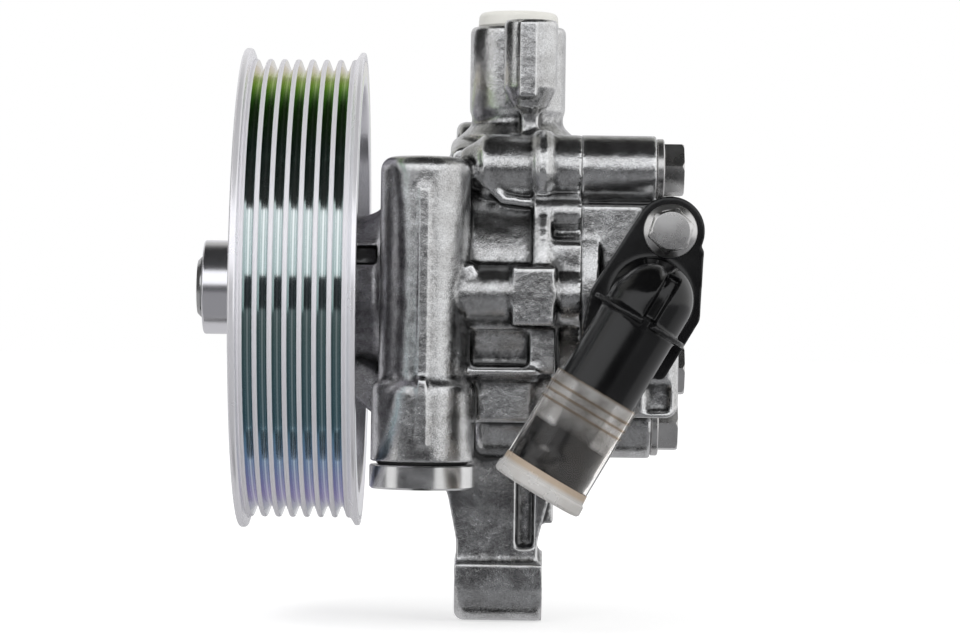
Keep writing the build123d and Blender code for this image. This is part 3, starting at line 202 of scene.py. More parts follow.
# Plated pulley: tinted between the bare crests, lips and inside; the tint by height carries painted
# reflection
pulleyLook = {
    # radius at which each zone starts and at which it is full, in mm
    "crest": (57.6, 57.75), "lip": (58.3, 58.6), "inside": (54.5, 54.0),
    "tintRough": 0.06, "crestRough": 0.50, "lipRough": 0.24, "insideRough": 0.22, "smokeRough": 0.05,
    "smokeSize": 7 * mm, "crestMetal": 0.55, "bareColour": (0.94, 0.93, 0.97, 1),
    "turningSize": 0.12 * mm, "turningStretch": (1, 0.02, 0.02), "turningBump": (0.004 * mm, 0.25),
    "driftSize": 30 * mm, "drift": 0.004,
    # plating tint by height in metres, low to high, with its iridescent colour and lighter and darker
    # reflection bands painted in as painted reflection
    "tintsWithPaintedReflection": [
        (-0.061, (0.60, 0.68, 0.62, 1)), (-0.052, (0.60, 0.56, 0.76, 1)), (-0.042, (0.52, 0.62, 0.74, 1)),
        (-0.032, (0.42, 0.56, 0.60, 1)), (-0.012, (0.50, 0.60, 0.60, 1)), (0.002, (0.66, 0.72, 0.72, 1)),
        (0.018, (0.76, 0.80, 0.80, 1)), (0.034, (0.46, 0.58, 0.52, 1)), (0.046, (0.36, 0.62, 0.24, 1)),
        (0.051, (0.50, 0.66, 0.20, 1)), (0.055, (0.80, 0.74, 0.62, 1))],
}


def platedPulley():
    look = pulleyLook
    material, tree, shader = freshMaterial("platedPulley")
    place = objectPlace(tree)
    flat = vectorNode(tree, "MULTIPLY", place, (0, 1, 1)).outputs[0]
    radius = vectorNode(tree, "LENGTH", flat).outputs["Value"]
    crest, lip, inside = [
        between(tree, radius, look[zone][0] * mm, look[zone][1] * mm) for zone in ("crest", "lip", "inside")]
    sway = between(
        tree, noise(tree, place, look["driftSize"], detail=2.0), 0, 1, -look["drift"], look["drift"])
    height = added(tree, coordinate(tree, place, "Z"), sway)
    # tint by height: the plating's colour with painted reflection, its bands and iridescence fixed on the
    # pulley
    low, high = look["tintsWithPaintedReflection"][0][0], look["tintsWithPaintedReflection"][-1][0]
    tintAndPaintedReflection = ramp(tree, between(tree, height, low, high), [
        ((z - low) / (high - low), colour) for z, colour in look["tintsWithPaintedReflection"]])
    bare = larger(tree, larger(tree, crest, lip), inside)
    tree.links.new(mixColours(tree, bare, tintAndPaintedReflection, look["bareColour"]), shader.inputs["Base Color"])
    rough = added(
        tree, between(tree, crest, 0, 1, look["tintRough"], look["crestRough"]),
        between(tree, lip, 0, 1, 0, look["lipRough"] - look["crestRough"]))
    rough = added(tree, rough, times(tree, noise(tree, place, look["smokeSize"]), look["smokeRough"]))
    rough = larger(tree, rough, times(tree, inside, look["insideRough"]))
    tree.links.new(rough, shader.inputs["Roughness"])
    tree.links.new(between(tree, crest, 0, 1, 1.0, look["crestMetal"]), shader.inputs["Metallic"])
    turning = noise(tree, stretched(tree, place, look["turningStretch"]), look["turningSize"], detail=2.0)
    bump(tree, shader, (turning, *look["turningBump"]))
    return material


# Other steels and the bronze
plainSteel = {
    "warm": 0.0, "cloud": 6 * mm, "dark": 0.86, "pale": 1.08, "paleWarm": 0.5, "smoother": 0.85,
    "rougher": 1.2, "markSize": 0.12 * mm, "markStrength": 0.5,
}
steels = {
    "groundSteel": {"grey": 0.56, "roughness": 0.26, "markHeight": 0.004 * mm, "stretch": (1, 0.03, 0.03)},
    "turnedSteel": {"grey": 0.74, "roughness": 0.22, "markHeight": 0.012 * mm, "stretch": (0.03, 0.03, 1),
                    "markSize": 0.16 * mm},
    "boltSteel": {"grey": 0.66, "roughness": 0.27, "markHeight": 0.006 * mm, "stretch": (1, 1, 1),
                  "warm": 0.015, "markSize": 0.3 * mm},
    "wireSteel": {"grey": 0.42, "roughness": 0.32, "markHeight": 0.006 * mm, "stretch": (1, 1, 0.4)},
    "sinteredBronze": {"grey": 0.50, "roughness": 0.42, "markHeight": 0.012 * mm, "stretch": (1, 1, 1),
                       "warm": 0.32},
}


def steelFinish(name):
    look = plainSteel | steels[name]
    material, tree, shader = freshMaterial(name)
    place = objectPlace(tree)
    cloud = noise(tree, place, look["cloud"])
    dark = grey(look["grey"] * look["dark"], look["warm"])
    pale = grey(min(1, look["grey"] * look["pale"]), look["warm"] * look["paleWarm"])
    tree.links.new(ramp(tree, cloud, list(zip(cloudSpan, (dark, pale)))), shader.inputs["Base Color"])
    tree.links.new(between(
        tree, cloud, *cloudSpan, look["roughness"] * look["smoother"], look["roughness"] * look["rougher"]),
        shader.inputs["Roughness"])
    shader.inputs["Metallic"].default_value = 1.0
    lines = noise(tree, stretched(tree, place, look["stretch"]), look["markSize"], detail=2.0)
    bump(tree, shader, (lines, look["markHeight"], look["markStrength"]))
    return material


# Plastics and rubber
plainPlastic = {"cloud": 9 * mm, "smoother": 0.85, "rougher": 1.25, "grainStrength": 0.5}
plastics = {
    "blackRubber": {"dark": (0.03, 0.03, 0.03, 1), "pale": (0.045, 0.045, 0.045, 1), "roughness": 0.6,
                    "grain": 0.3 * mm, "grainHeight": 0.01 * mm},
    "cageNylon": {"dark": (0.52, 0.48, 0.38, 1), "pale": (0.62, 0.58, 0.48, 1), "roughness": 0.45,
                  "grain": 0.4 * mm, "grainHeight": 0.01 * mm},
    "blackPlastic": {"dark": (0.002, 0.002, 0.0022, 1), "pale": (0.005, 0.005, 0.0055, 1), "roughness": 0.19,
                     "grain": 0.22 * mm, "grainHeight": 0.008 * mm},
    "whitePlastic": {"dark": (0.80, 0.79, 0.74, 1), "pale": (0.86, 0.85, 0.80, 1), "roughness": 0.34,
                     "grain": 0.5 * mm, "grainHeight": 0.008 * mm},
}


def plasticFinish(name):
    look = plainPlastic | plastics[name]
    material, tree, shader = freshMaterial(name)
    place = objectPlace(tree)
    cloud = noise(tree, place, look["cloud"])
    colours = (look["dark"], look["pale"])
    tree.links.new(ramp(tree, cloud, list(zip(cloudSpan, colours))), shader.inputs["Base Color"])
    tree.links.new(between(
        tree, cloud, *cloudSpan, look["roughness"] * look["smoother"], look["roughness"] * look["rougher"]),
        shader.inputs["Roughness"])
    grain = noise(tree, place, look["grain"], detail=2.0)
    bump(tree, shader, (grain, look["grainHeight"], look["grainStrength"]))
    return material


# The cap's plastic is hazy and tinted by the distance along and across the elbow's spigot; a milky patch on
# it stands in for a painted reflection
spigot = {"x": 86.4, "y": -48.0, "z": -1.9, "tilt": 30.3, "radius": 9.9}
cap = {
    "start": 25.6, "end": 54.4, "inside": 10.2, "wall": 0.7, "endWall": 1.2, "around": 160,
    "rings": (28.6, 30.7, 32.8), "ringHeight": 0.25, "ringWidth": 0.5, "ringRound": 0.12, "ringRoot": 0.1,
    "startRound": 0.25, "endRound": 0.4, "insideRound": 0.6,
}
plainClear = {
    "tanColour": (0.58, 0.44, 0.30, 1), "tanShare": 0.7, "tanHaze": 0.35, "tanSoft": 0.15,
    "cloud": 5 * mm, "cloudStops": (0.35, 0.65), "yellowed": (0.93, 0.03), "fresh": (1.0, 0.01),
    # haze and the painted reflection patch: middle, half width and soft edge, in mm
    "reflectionPatchAcross": (7.5, 2.0, 1.2), "reflectionPatchAlong": (32.0, 5.4, 1.1), "mistAlong": (29.0, 4.0, 5.0),
    "mistShare": 0.5, "thinnest": 0.3, "hazy": 0.72, "smoother": 0.7, "rougher": 1.3,
    "coat": 0.16, "coatRoughness": 0.08,
    "scratchSize": 1.2 * mm, "scratchStretch": (1, 1, 0.2), "scratchBump": (0.006 * mm, 0.4),
}
clearPlastics = {
    # tan bands: middle and half width along the spigot, in mm
    "clearPlastic": {"clear": 0.97, "roughness": 0.04, "through": 1.0, "tanBands": [(cap["start"], 0.2)] + [
        (ring + cap["ringWidth"] / 2, 0.15) for ring in cap["rings"]]},
    "milkyPlastic": {"clear": 0.78, "roughness": 0.25, "through": 0.40, "tanBands": [(49.2, 0.8)]},
}


def spigotStart():
    return Vector((spigot["x"], spigot["y"], spigot["z"])) * mm


def spigotAxes():
    tilt = math.radians(spigot["tilt"])
    down = Vector((-math.sin(tilt), 0, -math.cos(tilt)))
    return Vector((0, 1, 0)), down.cross(Vector((0, 1, 0))), down


def spigotDistance(tree, place, axis):
    product = vectorNode(tree, "DOT_PRODUCT", place, axis)
    return mathNode(tree, "SUBTRACT", product.outputs["Value"], spigotStart().dot(axis))


def bandAt(tree, value, middle, half, soft):
    away = mathNode(tree, "ABSOLUTE", mathNode(tree, "SUBTRACT", value, middle * mm))
    return between(tree, away, (half + soft) * mm, half * mm)


def clearFinish(name):
    look = plainClear | clearPlastics[name]
    material, tree, shader = freshMaterial(name)
    place = objectPlace(tree)
    _, sideways, down = spigotAxes()
    along = spigotDistance(tree, place, down)
    across = mathNode(tree, "ABSOLUTE", spigotDistance(tree, place, sideways))
    tan = None
    for middle, half in look["tanBands"]:
        band = bandAt(tree, along, middle, half, half + look["tanSoft"])
        tan = larger(tree, tan, band) if tan else band
    cloud = noise(tree, place, look["cloud"])
    pale = ramp(tree, cloud, [
        (stop, grey(look["clear"] * share, warm))
        for stop, (share, warm) in zip(look["cloudStops"], (look["yellowed"], look["fresh"]))])
    tree.links.new(mixColours(tree, times(tree, tan, look["tanShare"]), pale, look["tanColour"]),
                   shader.inputs["Base Color"])
    # milky patch off the axis: haze that also paints a reflection, by lowering the transmission
    hazeAndPaintedReflection = times(tree, bandAt(tree, across, *look["reflectionPatchAcross"]), bandAt(tree, along, *look["reflectionPatchAlong"]))
    hazeAndPaintedReflection = larger(tree, hazeAndPaintedReflection, times(tree, bandAt(tree, along, *look["mistAlong"]), look["mistShare"]))
    hazeAndPaintedReflection = times(tree, hazeAndPaintedReflection, between(tree, cloud, *cloudSpan, look["thinnest"], 1.0))
    hazeAndPaintedReflection = larger(tree, hazeAndPaintedReflection, times(tree, tan, look["tanHaze"]))
    tree.links.new(between(tree, hazeAndPaintedReflection, 0, 1, look["through"], look["through"] * look["hazy"]),
                   shader.inputs["Transmission Weight"])
    tree.links.new(between(
        tree, cloud, *cloudSpan, look["roughness"] * look["smoother"], look["roughness"] * look["rougher"]),
        shader.inputs["Roughness"])
    shader.inputs["IOR"].default_value = 1.04  # a thin wall bends no light
    shader.inputs["Coat Weight"].default_value = look["coat"]
    shader.inputs["Coat Roughness"].default_value = look["coatRoughness"]
    place = stretched(tree, place, look["scratchStretch"])
    bump(tree, shader, (noise(tree, place, look["scratchSize"], detail=2.0), *look["scratchBump"]))
    return material


finishes = {"castAluminium": castAluminium(), "platedPulley": platedPulley()}
for make, names in ((steelFinish, steels), (plasticFinish, plastics), (clearFinish, clearPlastics)):
    for name in names:
        finishes[name] = make(name)
print("finishes made")

# The frame's nodes that are seen as they were packed
nodeFinishes = {
    "groundSteel": ["drive_shaft", "bearing_outer_ring", "bearing_inner_ring", "bearing_balls", "cam_ring",
                    "cam_dowel_pins", "front_side_plate", "rear_side_plate", "rotor", "valve_spool",
                    "relief_seat", "relief_ball"] + [f"vane_{number:02d}" for number in range(1, 11)],
    "turnedSteel": ["valve_plug"],
    "boltSteel": ["cover_bolts", "bolt_washers", "elbow_bolt"],
    "wireSteel": ["bearing_circlip", "rotor_snap_ring", "valve_spring", "relief_spring"],
    "sinteredBronze": ["rear_bush"],
    "blackRubber": [
        "housing_seal", "shaft_oil_seal", "side_plate_o_ring", "valve_plug_o_ring", "elbow_o_ring"],
    "cageNylon": ["bearing_cage"],
}
for finish, names in nodeFinishes.items():
    for name in names:
        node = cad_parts[name]
        for slot in node.material_slots:
            slot.material = finishes[finish]
        if not node.material_slots:
            node.data.materials.append(finishes[finish])


# Mesh helpers
straight = 3.1  # radians: a flatter corner stays as it is
cornerReach = 0.48  # longest share of a side that a rounding takes
weld = 0.002 * mm


# A point of a profile is its place along, its radius and the rounding of its corner
def softened(points, closed, steps):
    soft = []
    for index, (along, radius, corner) in enumerate(points):
        here = Vector((along, radius))
        before = Vector(points[index - 1][:2]) - here
        after = Vector(points[(index + 1) % len(points)][:2]) - here
        atEnd = not closed and index in (0, len(points) - 1)
        if corner <= 0 or atEnd or before.angle(after) > straight:
            soft.append((along, radius))
            continue
        angle = before.angle(after)
        longest = min(before.length, after.length) * cornerReach
        reach = min(corner / math.tan(angle / 2), longest)
        before, after = before.normalized(), after.normalized()
        centre = here + (before + after).normalized() * reach / math.cos(angle / 2)
        start, end = here + before * reach - centre, here + after * reach - centre
        for step in range(steps + 1):
            part = start.lerp(end, step / steps).normalized() * start.length
            soft.append(tuple(centre + part))
    return soft


def lathe(profile, place, around, closed=True, limit=None):
    verts, faces = [], []
    count = len(profile)
    for turn in range(around):
        angle = 2 * math.pi * turn / around
        across, up = math.cos(angle), math.sin(angle)
        for along, radius in profile:
            shown = min(radius, limit(angle)) if limit else radius
            verts.append(place @ Vector((shown * across * mm, shown * up * mm, along * mm)))
    for turn in range(around):
        here, there = turn * count, (turn + 1) % around * count
        for index in range(count if closed else count - 1):
            after = (index + 1) % count
            faces.append((here + index, here + after, there + after, there + index))
    return verts, faces


def standing(axis, x=0.0, y=0.0, z=0.0):
    degrees, about = {"x": (90, "Y"), "y": (90, "X"), "z": (0, "Z")}[axis]
    return Matrix.Translation(Vector((x, y, z)) * mm) @ Matrix.Rotation(math.radians(degrees), 4, about)


def alongSpigot():
    return Matrix.Translation(spigotStart()) @ Matrix(spigotAxes()).transposed().to_4x4()


def newObject(name, verts, faces):
    mesh = bpy.data.meshes.new(name)
    mesh.from_pydata(verts, [], faces)
    made = bpy.data.objects.new(name, mesh)
    bpy.context.scene.collection.objects.link(made)
    return made


def makePiece(name, parts, finish, body, nodes=()):
    verts, faces = [], []
    for partVerts, partFaces in parts:
        start = len(verts)
        verts += partVerts
        faces += [tuple(start + index for index in face) for face in partFaces]
    piece = newObject(name, verts, faces)
    work = bmesh.new()
    work.from_mesh(piece.data)
    bmesh.ops.remove_doubles(work, verts=work.verts, dist=weld)
    bmesh.ops.recalc_face_normals(work, faces=work.faces)
    work.to_mesh(piece.data)
    work.free()
    dress(piece, finish, body, nodes)


def dress(piece, finish, body, nodes):
    piece.data.materials.clear()
    piece.data.materials.append(finishes[finish])
    piece.data.shade_smooth()
    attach(piece, body)
    if nodes:
        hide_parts(*nodes)
    print("made", piece.name, len(piece.data.polygons), "faces")


# Pulley, spun and plated
pulley = {
    "front": -15.2, "rear": 15.2, "inside": 52.15, "around": 300, "edgeRound": 0.5,
    "frontLip": 60.8, "frontLipWidth": 1.8, "frontLipRound": 0.7,
    "rearLip": 60.0, "rearLipWidth": 1.1, "rearLipRound": 0.4,
    "grooves": 7, "pitch": 3.56, "crest": 58.1, "crestFlat": 0.9, "crestRound": 0.55, "crestRoot": 0.3,
    "valley": 55.35, "valleyFlat": 0.6, "valleyRound": 0.35,
    "webFront": -13.4, "webWall": 3.0, "webFrontRoot": 1.4, "webRearRoot": 2.2,
    "dishRadius": 21.9, "dishDepth": 3.0, "dishRound": 5.0,
    "hub": 11.9, "hubFront": -25.2, "hubRear": -7.7,
    "hubRoot": 0.8, "hubFrontRound": 0.6, "hubRearRound": 0.5,
    "bore": 7.71, "boreFrontRound": 0.5, "boreRearRound": 0.4,
}


def pulleyProfile():
    p = pulley
    halfCrest, halfValley = p["crestFlat"] / 2, p["valleyFlat"] / 2
    first = -p["grooves"] * p["pitch"] / 2
    points = [
        (p["webFront"], p["inside"], p["webFrontRoot"]), (p["front"], p["inside"], p["edgeRound"]),
        (p["front"], p["frontLip"], p["frontLipRound"]),
        (p["front"] + p["frontLipWidth"], p["frontLip"], p["frontLipRound"]),
        (first - halfCrest, p["crest"], p["crestRoot"]), (first + halfCrest, p["crest"], p["crestRound"]),
    ]
    for groove in range(p["grooves"]):
        middle = first + (groove + 0.5) * p["pitch"]
        crest = middle + p["pitch"] / 2
        points += [
            (middle - halfValley, p["valley"], p["valleyRound"]),
            (middle + halfValley, p["valley"], p["valleyRound"]),
            (crest - halfCrest, p["crest"], p["crestRound"]),
            (crest + halfCrest, p["crest"], p["crestRound"]),
        ]
    webRear = p["webFront"] + p["webWall"]
    points += [
        (p["rear"] - p["rearLipWidth"], p["rearLip"], p["rearLipRound"]),
        (p["rear"], p["rearLip"], p["rearLipRound"]), (p["rear"], p["inside"], p["edgeRound"]),
        (webRear, p["inside"], p["webRearRoot"]), (webRear, p["dishRadius"], p["dishRound"]),
        (webRear - p["dishDepth"], p["hub"], p["hubRoot"]), (p["hubRear"], p["hub"], p["hubRearRound"]),
        (p["hubRear"], p["bore"], p["boreRearRound"]), (p["hubFront"], p["bore"], p["boreFrontRound"]),
        (p["hubFront"], p["hub"], p["hubFrontRound"]),
        (p["webFront"] - p["dishDepth"], p["hub"], p["hubRoot"]),
        (p["webFront"], p["dishRadius"], p["dishRound"]),
    ]
    return softened(points, closed=True, steps=5)


makePiece(
    "pulleyRim", [lathe(pulleyProfile(), standing("x"), pulley["around"])], "platedPulley", "shaft",
    ["pulley"])


# Castings: the frame's own solids, rounded as a die leaves them
frontCast = {
    "voxel": 0.5, "roundAll": 4, "roundInside": 14, "triangles": 190000,
    # machined places stay sharp: axis, where it lies across, radius, from and to along it, in mm
    "machined": [
        ("x", 0, 0, 17.9, 4, 44.5), ("x", 0, 0, 28.7, 43, 71), ("x", 0, 0, 80, 69.2, 71),
        ("z", 31.2, -30, 9.8, -44, 26), ("z", 31.2, -30, 14, -44, -41.9), ("z", 53.7, -2, 8.0, 40, 68),
        ("z", 53.7, -2, 13, 66.5, 68), ("z", 56.7, -20, 2.9, 50, 69), ("z", 56.7, -20, 7.2, 67.0, 68),
        ("x", 0, -74.7, 4.6, 38, 63), ("x", 38, 36, 4.6, 36, 63),
        ("x", 0, -74.7, 9.5, 61.3, 62), ("x", 0, -74.7, 9.5, 39, 39.5),
    ],
}
rearCast = {
    "voxel": 0.46, "roundAll": 4, "roundInside": 14, "triangles": 140000,
    "machined": [
        ("x", 0, 0, 80, 69, 69.8), ("x", 0, 0, 10, 69, 86), ("y", 86.4, -1.9, 11.2, -34, -12),
        ("y", 86.4, -1.9, 25, -33, -32.3),
    ],
}
elbowCast = {
    "voxel": 0.36, "roundAll": 3, "roundInside": 9, "triangles": 130000,
    "machined": [("y", 86.4, -1.9, 9, -34, -20)],
}
rounding = {
    "share": 0.5,  # of the way to the neighbours in one turn
    "normalsEvery": 4, "relaxTurns": 7, "relaxShare": 0.6,
    "fullEdge": 0.10 * mm,  # bend that counts as a full edge
}
# Elbow's dome: distances in mm across, along and in front of the spigot, from the middle of its bend.
# A pair says where a form starts and ends, or starts and is full. hollowAt is a place across and along.
hood = {
    "skin": (8.9, 10.6), "skinDepth": 9.6,
    "lobeAcross": (1.0, -0.6), "lobeAlong": (2.5, -3.0), "lobeDepth": -4, "lobeShrink": 1.2,
    "dip": 1.1, "dipAcross": -0.6, "dipWidth": 1.3, "dipAlong": (-2, -5), "front": -3,
    "channel": (0.0, 3.2), "channelSoft": 0.3, "channelAlong": (-7.0, 5.0), "channelEndSoft": 0.8,
    "channelDepth": 2.4, "hollowAt": (-3.6, -3.2), "hollowWidth": 2.2, "hollowDepth": 0.9,
    "collar": (4.7, 7.3), "collarSoft": 0.1, "collarGap": (0.2, 2.8), "gapSoft": 0.2,
}


def smoothStep(value, low, high):
    part = ((value - low) / (high - low)).clip(0, 1)
    return part * part * (3 - 2 * part)


def within(value, limits, soft):
    low, high = limits
    return smoothStep(value, low - soft, low + soft) * smoothStep(value, high + soft, high - soft)


def carveHood(place):
    axes, start = np.array(alongSpigot())[:3, :3], np.array(alongSpigot())[:3, 3]
    depth, across, along = ((place - start) @ axes / mm).T
    fromMiddle = np.hypot(across, along)
    skin = (fromMiddle > hood["skin"][0]) & (fromMiddle < hood["skin"][1]) & (depth < hood["skinDepth"])
    lobe = smoothStep(across, *hood["lobeAcross"]) * smoothStep(along, *hood["lobeAlong"])
    dip = np.exp(-((across - hood["dipAcross"]) / hood["dipWidth"]) ** 2)
    dip *= smoothStep(along, *hood["dipAlong"])
    shrink = hood["lobeShrink"] * lobe + hood["dip"] * dip
    carved = skin | ((lobe > 0) & (depth < hood["lobeDepth"]))
    scale = 1 - np.where(carved, shrink / spigot["radius"], 0)
    across, along = across * scale, along * scale
    sunk = hood["channelDepth"] * within(across, hood["channel"], hood["channelSoft"]) * within(
        along, hood["channelAlong"], hood["channelEndSoft"])
    fromHollow = np.hypot(across - hood["hollowAt"][0], along - hood["hollowAt"][1])
    sunk += hood["hollowDepth"] * np.exp(-(fromHollow / hood["hollowWidth"]) ** 2)
    depth = depth + np.where(depth < hood["front"], sunk, 0)
    radius = np.hypot(depth, across)
    gap = within(along, hood["collar"], hood["collarSoft"])
    gap *= within(across, hood["collarGap"], hood["gapSoft"])
    low = 1 - gap * (depth < 0) * (1 - spigot["radius"] / radius.clip(spigot["radius"], None))
    return np.stack([depth * low, across * low, along], axis=1) * mm @ axes.T + start


def meshArrays(mesh):
    place = np.empty(len(mesh.vertices) * 3)
    mesh.vertices.foreach_get("co", place)
    edges = np.empty(len(mesh.edges) * 2, dtype=np.int64)
    mesh.edges.foreach_get("vertices", edges)
    return place.reshape(-1, 3), edges.reshape(-1, 2)


def movePoints(mesh, place):
    mesh.vertices.foreach_set("co", place.ravel())
    mesh.update()
    normals = np.empty(len(mesh.vertices) * 3)
    mesh.vertices.foreach_get("normal", normals)
    return normals.reshape(-1, 3)


def towardsNeighbours(place, edges):
    count = len(place)
    joined = np.bincount(edges.ravel(), minlength=count).clip(1)
    total = np.stack([
        np.bincount(edges[:, 0], place[edges[:, 1], axis], count)
        + np.bincount(edges[:, 1], place[edges[:, 0], axis], count) for axis in range(3)], axis=1)
    return total / joined[:, None] - place


def castSkin(place, machined):
    skin = np.ones(len(place))
    for axis, first, second, radius, low, high in machined:
        along = "xyz".index(axis)
        across = [other for other in range(3) if other != along]
        near = np.hypot(place[:, across[0]] / mm - first, place[:, across[1]] / mm - second) < radius
        skin[near & (place[:, along] / mm > low) & (place[:, along] / mm < high)] = 0
    return skin


def applyModifiers(piece):
    depsgraph = bpy.context.evaluated_depsgraph_get()
    done = bpy.data.meshes.new_from_object(piece.evaluated_get(depsgraph))
    piece.modifiers.clear()
    piece.data = done
    done.name = piece.name


def roundEdges(mesh, look, shape):
    place, edges = meshArrays(mesh)
    skin = castSkin(place, look["machined"])
    for turn in range(look["roundInside"]):
        if turn % rounding["normalsEvery"] == 0:
            normals = movePoints(mesh, place)
        step = towardsNeighbours(place, edges)
        hollow = (step * normals).sum(axis=1) > 0
        move = skin if turn < look["roundAll"] else skin * hollow
        place = place + step * rounding["share"] * move[:, None]
    if shape:
        place = shape(place)
    return place, edges


# "edge" is 1 on a sharp ridge and -1 in a sharp corner, for the castings' worn edges with painted highlight
# and their painted corner shade
def markEdges(mesh, place, edges):
    normals = movePoints(mesh, place)
    relaxed = place.copy()
    for _ in range(rounding["relaxTurns"]):
        relaxed += towardsNeighbours(relaxed, edges) * rounding["relaxShare"]
    bend = ((place - relaxed) * normals).sum(axis=1) / rounding["fullEdge"]
    attribute = mesh.attributes.new("edge", "FLOAT", "POINT")
    attribute.data.foreach_set("value", bend.clip(-1, 1).astype(np.float32))


def castPiece(name, node, look, finish, shape=None):
    piece = bpy.data.objects.new(name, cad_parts[node].data.copy())
    bpy.context.scene.collection.objects.link(piece)
    remesh = piece.modifiers.new("skin", "REMESH")
    remesh.mode = "VOXEL"
    remesh.voxel_size = look["voxel"] * mm
    applyModifiers(piece)
    markEdges(piece.data, *roundEdges(piece.data, look, shape))
    count = len(piece.data.polygons) * 2  # the remesh makes four-sided faces
    if count > look["triangles"]:
        thin = piece.modifiers.new("thin", "DECIMATE")
        thin.ratio = look["triangles"] / count
        applyModifiers(piece)
    dress(piece, finish, "housing", [node])


castPiece("frontCasting", "front_housing", frontCast, "castAluminium")
castPiece("rearCasting", "rear_housing", rearCast, "castAluminium")
castPiece("elbowMoulding", "suction_elbow", elbowCast, "blackPlastic", carveHood)


# Clear cap on the spigot
def capProfile():
    outside = cap["inside"] + cap["wall"]
    onRing = outside + cap["ringHeight"]
    points = [(cap["end"], 0, 0), (cap["end"], outside, cap["endRound"])]
    for ring in reversed(cap["rings"]):
        low = ring + cap["ringWidth"]
        points += [
            (low, outside, cap["ringRoot"]), (low, onRing, cap["ringRound"]),
            (ring, onRing, cap["ringRound"]), (ring, outside, cap["ringRoot"]),
        ]
    bottom = cap["end"] - cap["endWall"]
    points += [
        (cap["start"], outside, cap["startRound"]), (cap["start"], cap["inside"], cap["startRound"]),
        (bottom, cap["inside"], cap["insideRound"]), (bottom, 0, 0),
    ]
    return softened(points, closed=False, steps=3)


# Its closed end carries a milky band with a thin skirt
capBand = {
    "radius": 11.75, "length": 4.0, "gap": 0.02,
    "cover": 3.0, "coverFront": 0.02, "coverRound": 0.2, "coverBack": 0.2, "coverBackRound": 0.05,
    "crownDrop": 0.1, "crownWidth": 0.5, "crownRound": 0.5, "crownLength": 0.7, "crownFootRound": 0.4,
    "footLength": 1.2, "footSlope": 0.1, "footRound": 0.5,
    "undercut": 0.9, "undercutDepth": 0.5, "undercutRound": 0.3,
    "skirt": 1.6, "skirtWall": 0.12, "skirtRound": 0.3, "skirtEdge": 0.05, "insideRound": 0.1,
}


def bandProfile():
    b = capBand
    end, rim, foot = cap["end"], b["radius"], cap["end"] - b["length"]
    outside = cap["inside"] + cap["wall"] + b["gap"]
    skirt, back = foot - b["skirt"], end - b["coverBack"]
    points = [
        (end - b["coverFront"], outside - b["cover"], b["coverRound"]),
        (end - b["crownDrop"], rim - b["crownWidth"], b["crownRound"]),
        (end - b["crownLength"], rim, b["crownFootRound"]),
        (foot + b["footLength"], rim - b["footSlope"], b["footRound"]),
        (foot + b["undercut"], rim - b["undercutDepth"], b["undercutRound"]),
        (skirt, outside + b["skirtWall"], b["skirtRound"]), (skirt, outside, b["skirtEdge"]),
        (back, outside, b["insideRound"]), (back, outside - b["cover"], b["coverBackRound"]),
    ]
    return softened(points, closed=True, steps=3)


makePiece(
    "clearCap", [lathe(capProfile(), alongSpigot(), cap["around"], closed=False)], "clearPlastic", "cap",
    ["suction_cap"])
makePiece(
    "capRim", [lathe(bandProfile(), alongSpigot(), cap["around"])], "milkyPlastic", "cap")


# Flanged bolt that holds the elbow
elbowBolt = {
    "x": 91.07, "z": 14.9, "face": -37.5, "around": 144,
    "shank": 3.0, "shankRoot": 0.2, "shankRound": 0.4, "length": 17.0,
    "hex": 10.0, "turn": 14, "height": 5.3, "topCircle": 4.5, "topRound": 0.25,
    "chamferWidth": 0.9, "chamferDrop": 0.5, "chamferRound": 0.2,
    "cornerShare": 0.6, "cornerDrop": 0.9, "cornerRound": 0.1, "sunk": 0.4,
    "flange": 6.7, "flangeTop": 1.5, "flangeEdge": (0.5, 0.9), "flangeSlope": 0.25, "flangeRound": 0.3,
    "flangeUnder": 0.1, "flangeUnderRound": 0.1,
    # the flange's cone runs up under the head: share of the hex, height above the flange's top
    "coneTop": (0.45, 0.5), "coneFoot": (0.52, 0.3), "coneFootRound": 0.4,
}


def hexLimit(across, turn):
    def limit(angle):
        return across / 2 / math.cos((angle - math.radians(turn)) % math.radians(60) - math.radians(30))
    return limit


def boltParts(place):
    b = elbowBolt
    corner, top = b["hex"] * b["cornerShare"], b["flangeTop"]
    head = [
        (b["height"], 0, 0), (b["height"], b["topCircle"], b["topRound"]),
        (b["height"] - b["chamferDrop"], b["topCircle"] + b["chamferWidth"], b["chamferRound"]),
        (b["height"] - b["cornerDrop"], corner, b["cornerRound"]), (top - b["sunk"], corner, 0),
    ]
    flange = [
        (top + b["coneTop"][1], b["hex"] * b["coneTop"][0], 0),
        (top + b["coneFoot"][1], b["hex"] * b["coneFoot"][0], b["coneFootRound"]),
        (b["flangeEdge"][1], b["flange"] - b["flangeSlope"], b["flangeRound"]),
        (b["flangeEdge"][0], b["flange"], b["flangeRound"]),
        (0, b["flange"] - b["flangeUnder"], b["flangeUnderRound"]), (0, b["shank"], b["shankRoot"]),
        (-b["length"], b["shank"], b["shankRound"]), (-b["length"], 0, 0),
    ]
    sixSided = hexLimit(b["hex"], b["turn"])
    return [
        lathe(softened(points, closed=False, steps=3), place, b["around"], closed=False, limit=limit)
        for points, limit in ((head, sixSided), (flange, None))]


makePiece(
    "elbowBolt", boltParts(standing("y", elbowBolt["x"], elbowBolt["face"], elbowBolt["z"])), "boltSteel",
    "housing", ["elbow_bolt"])


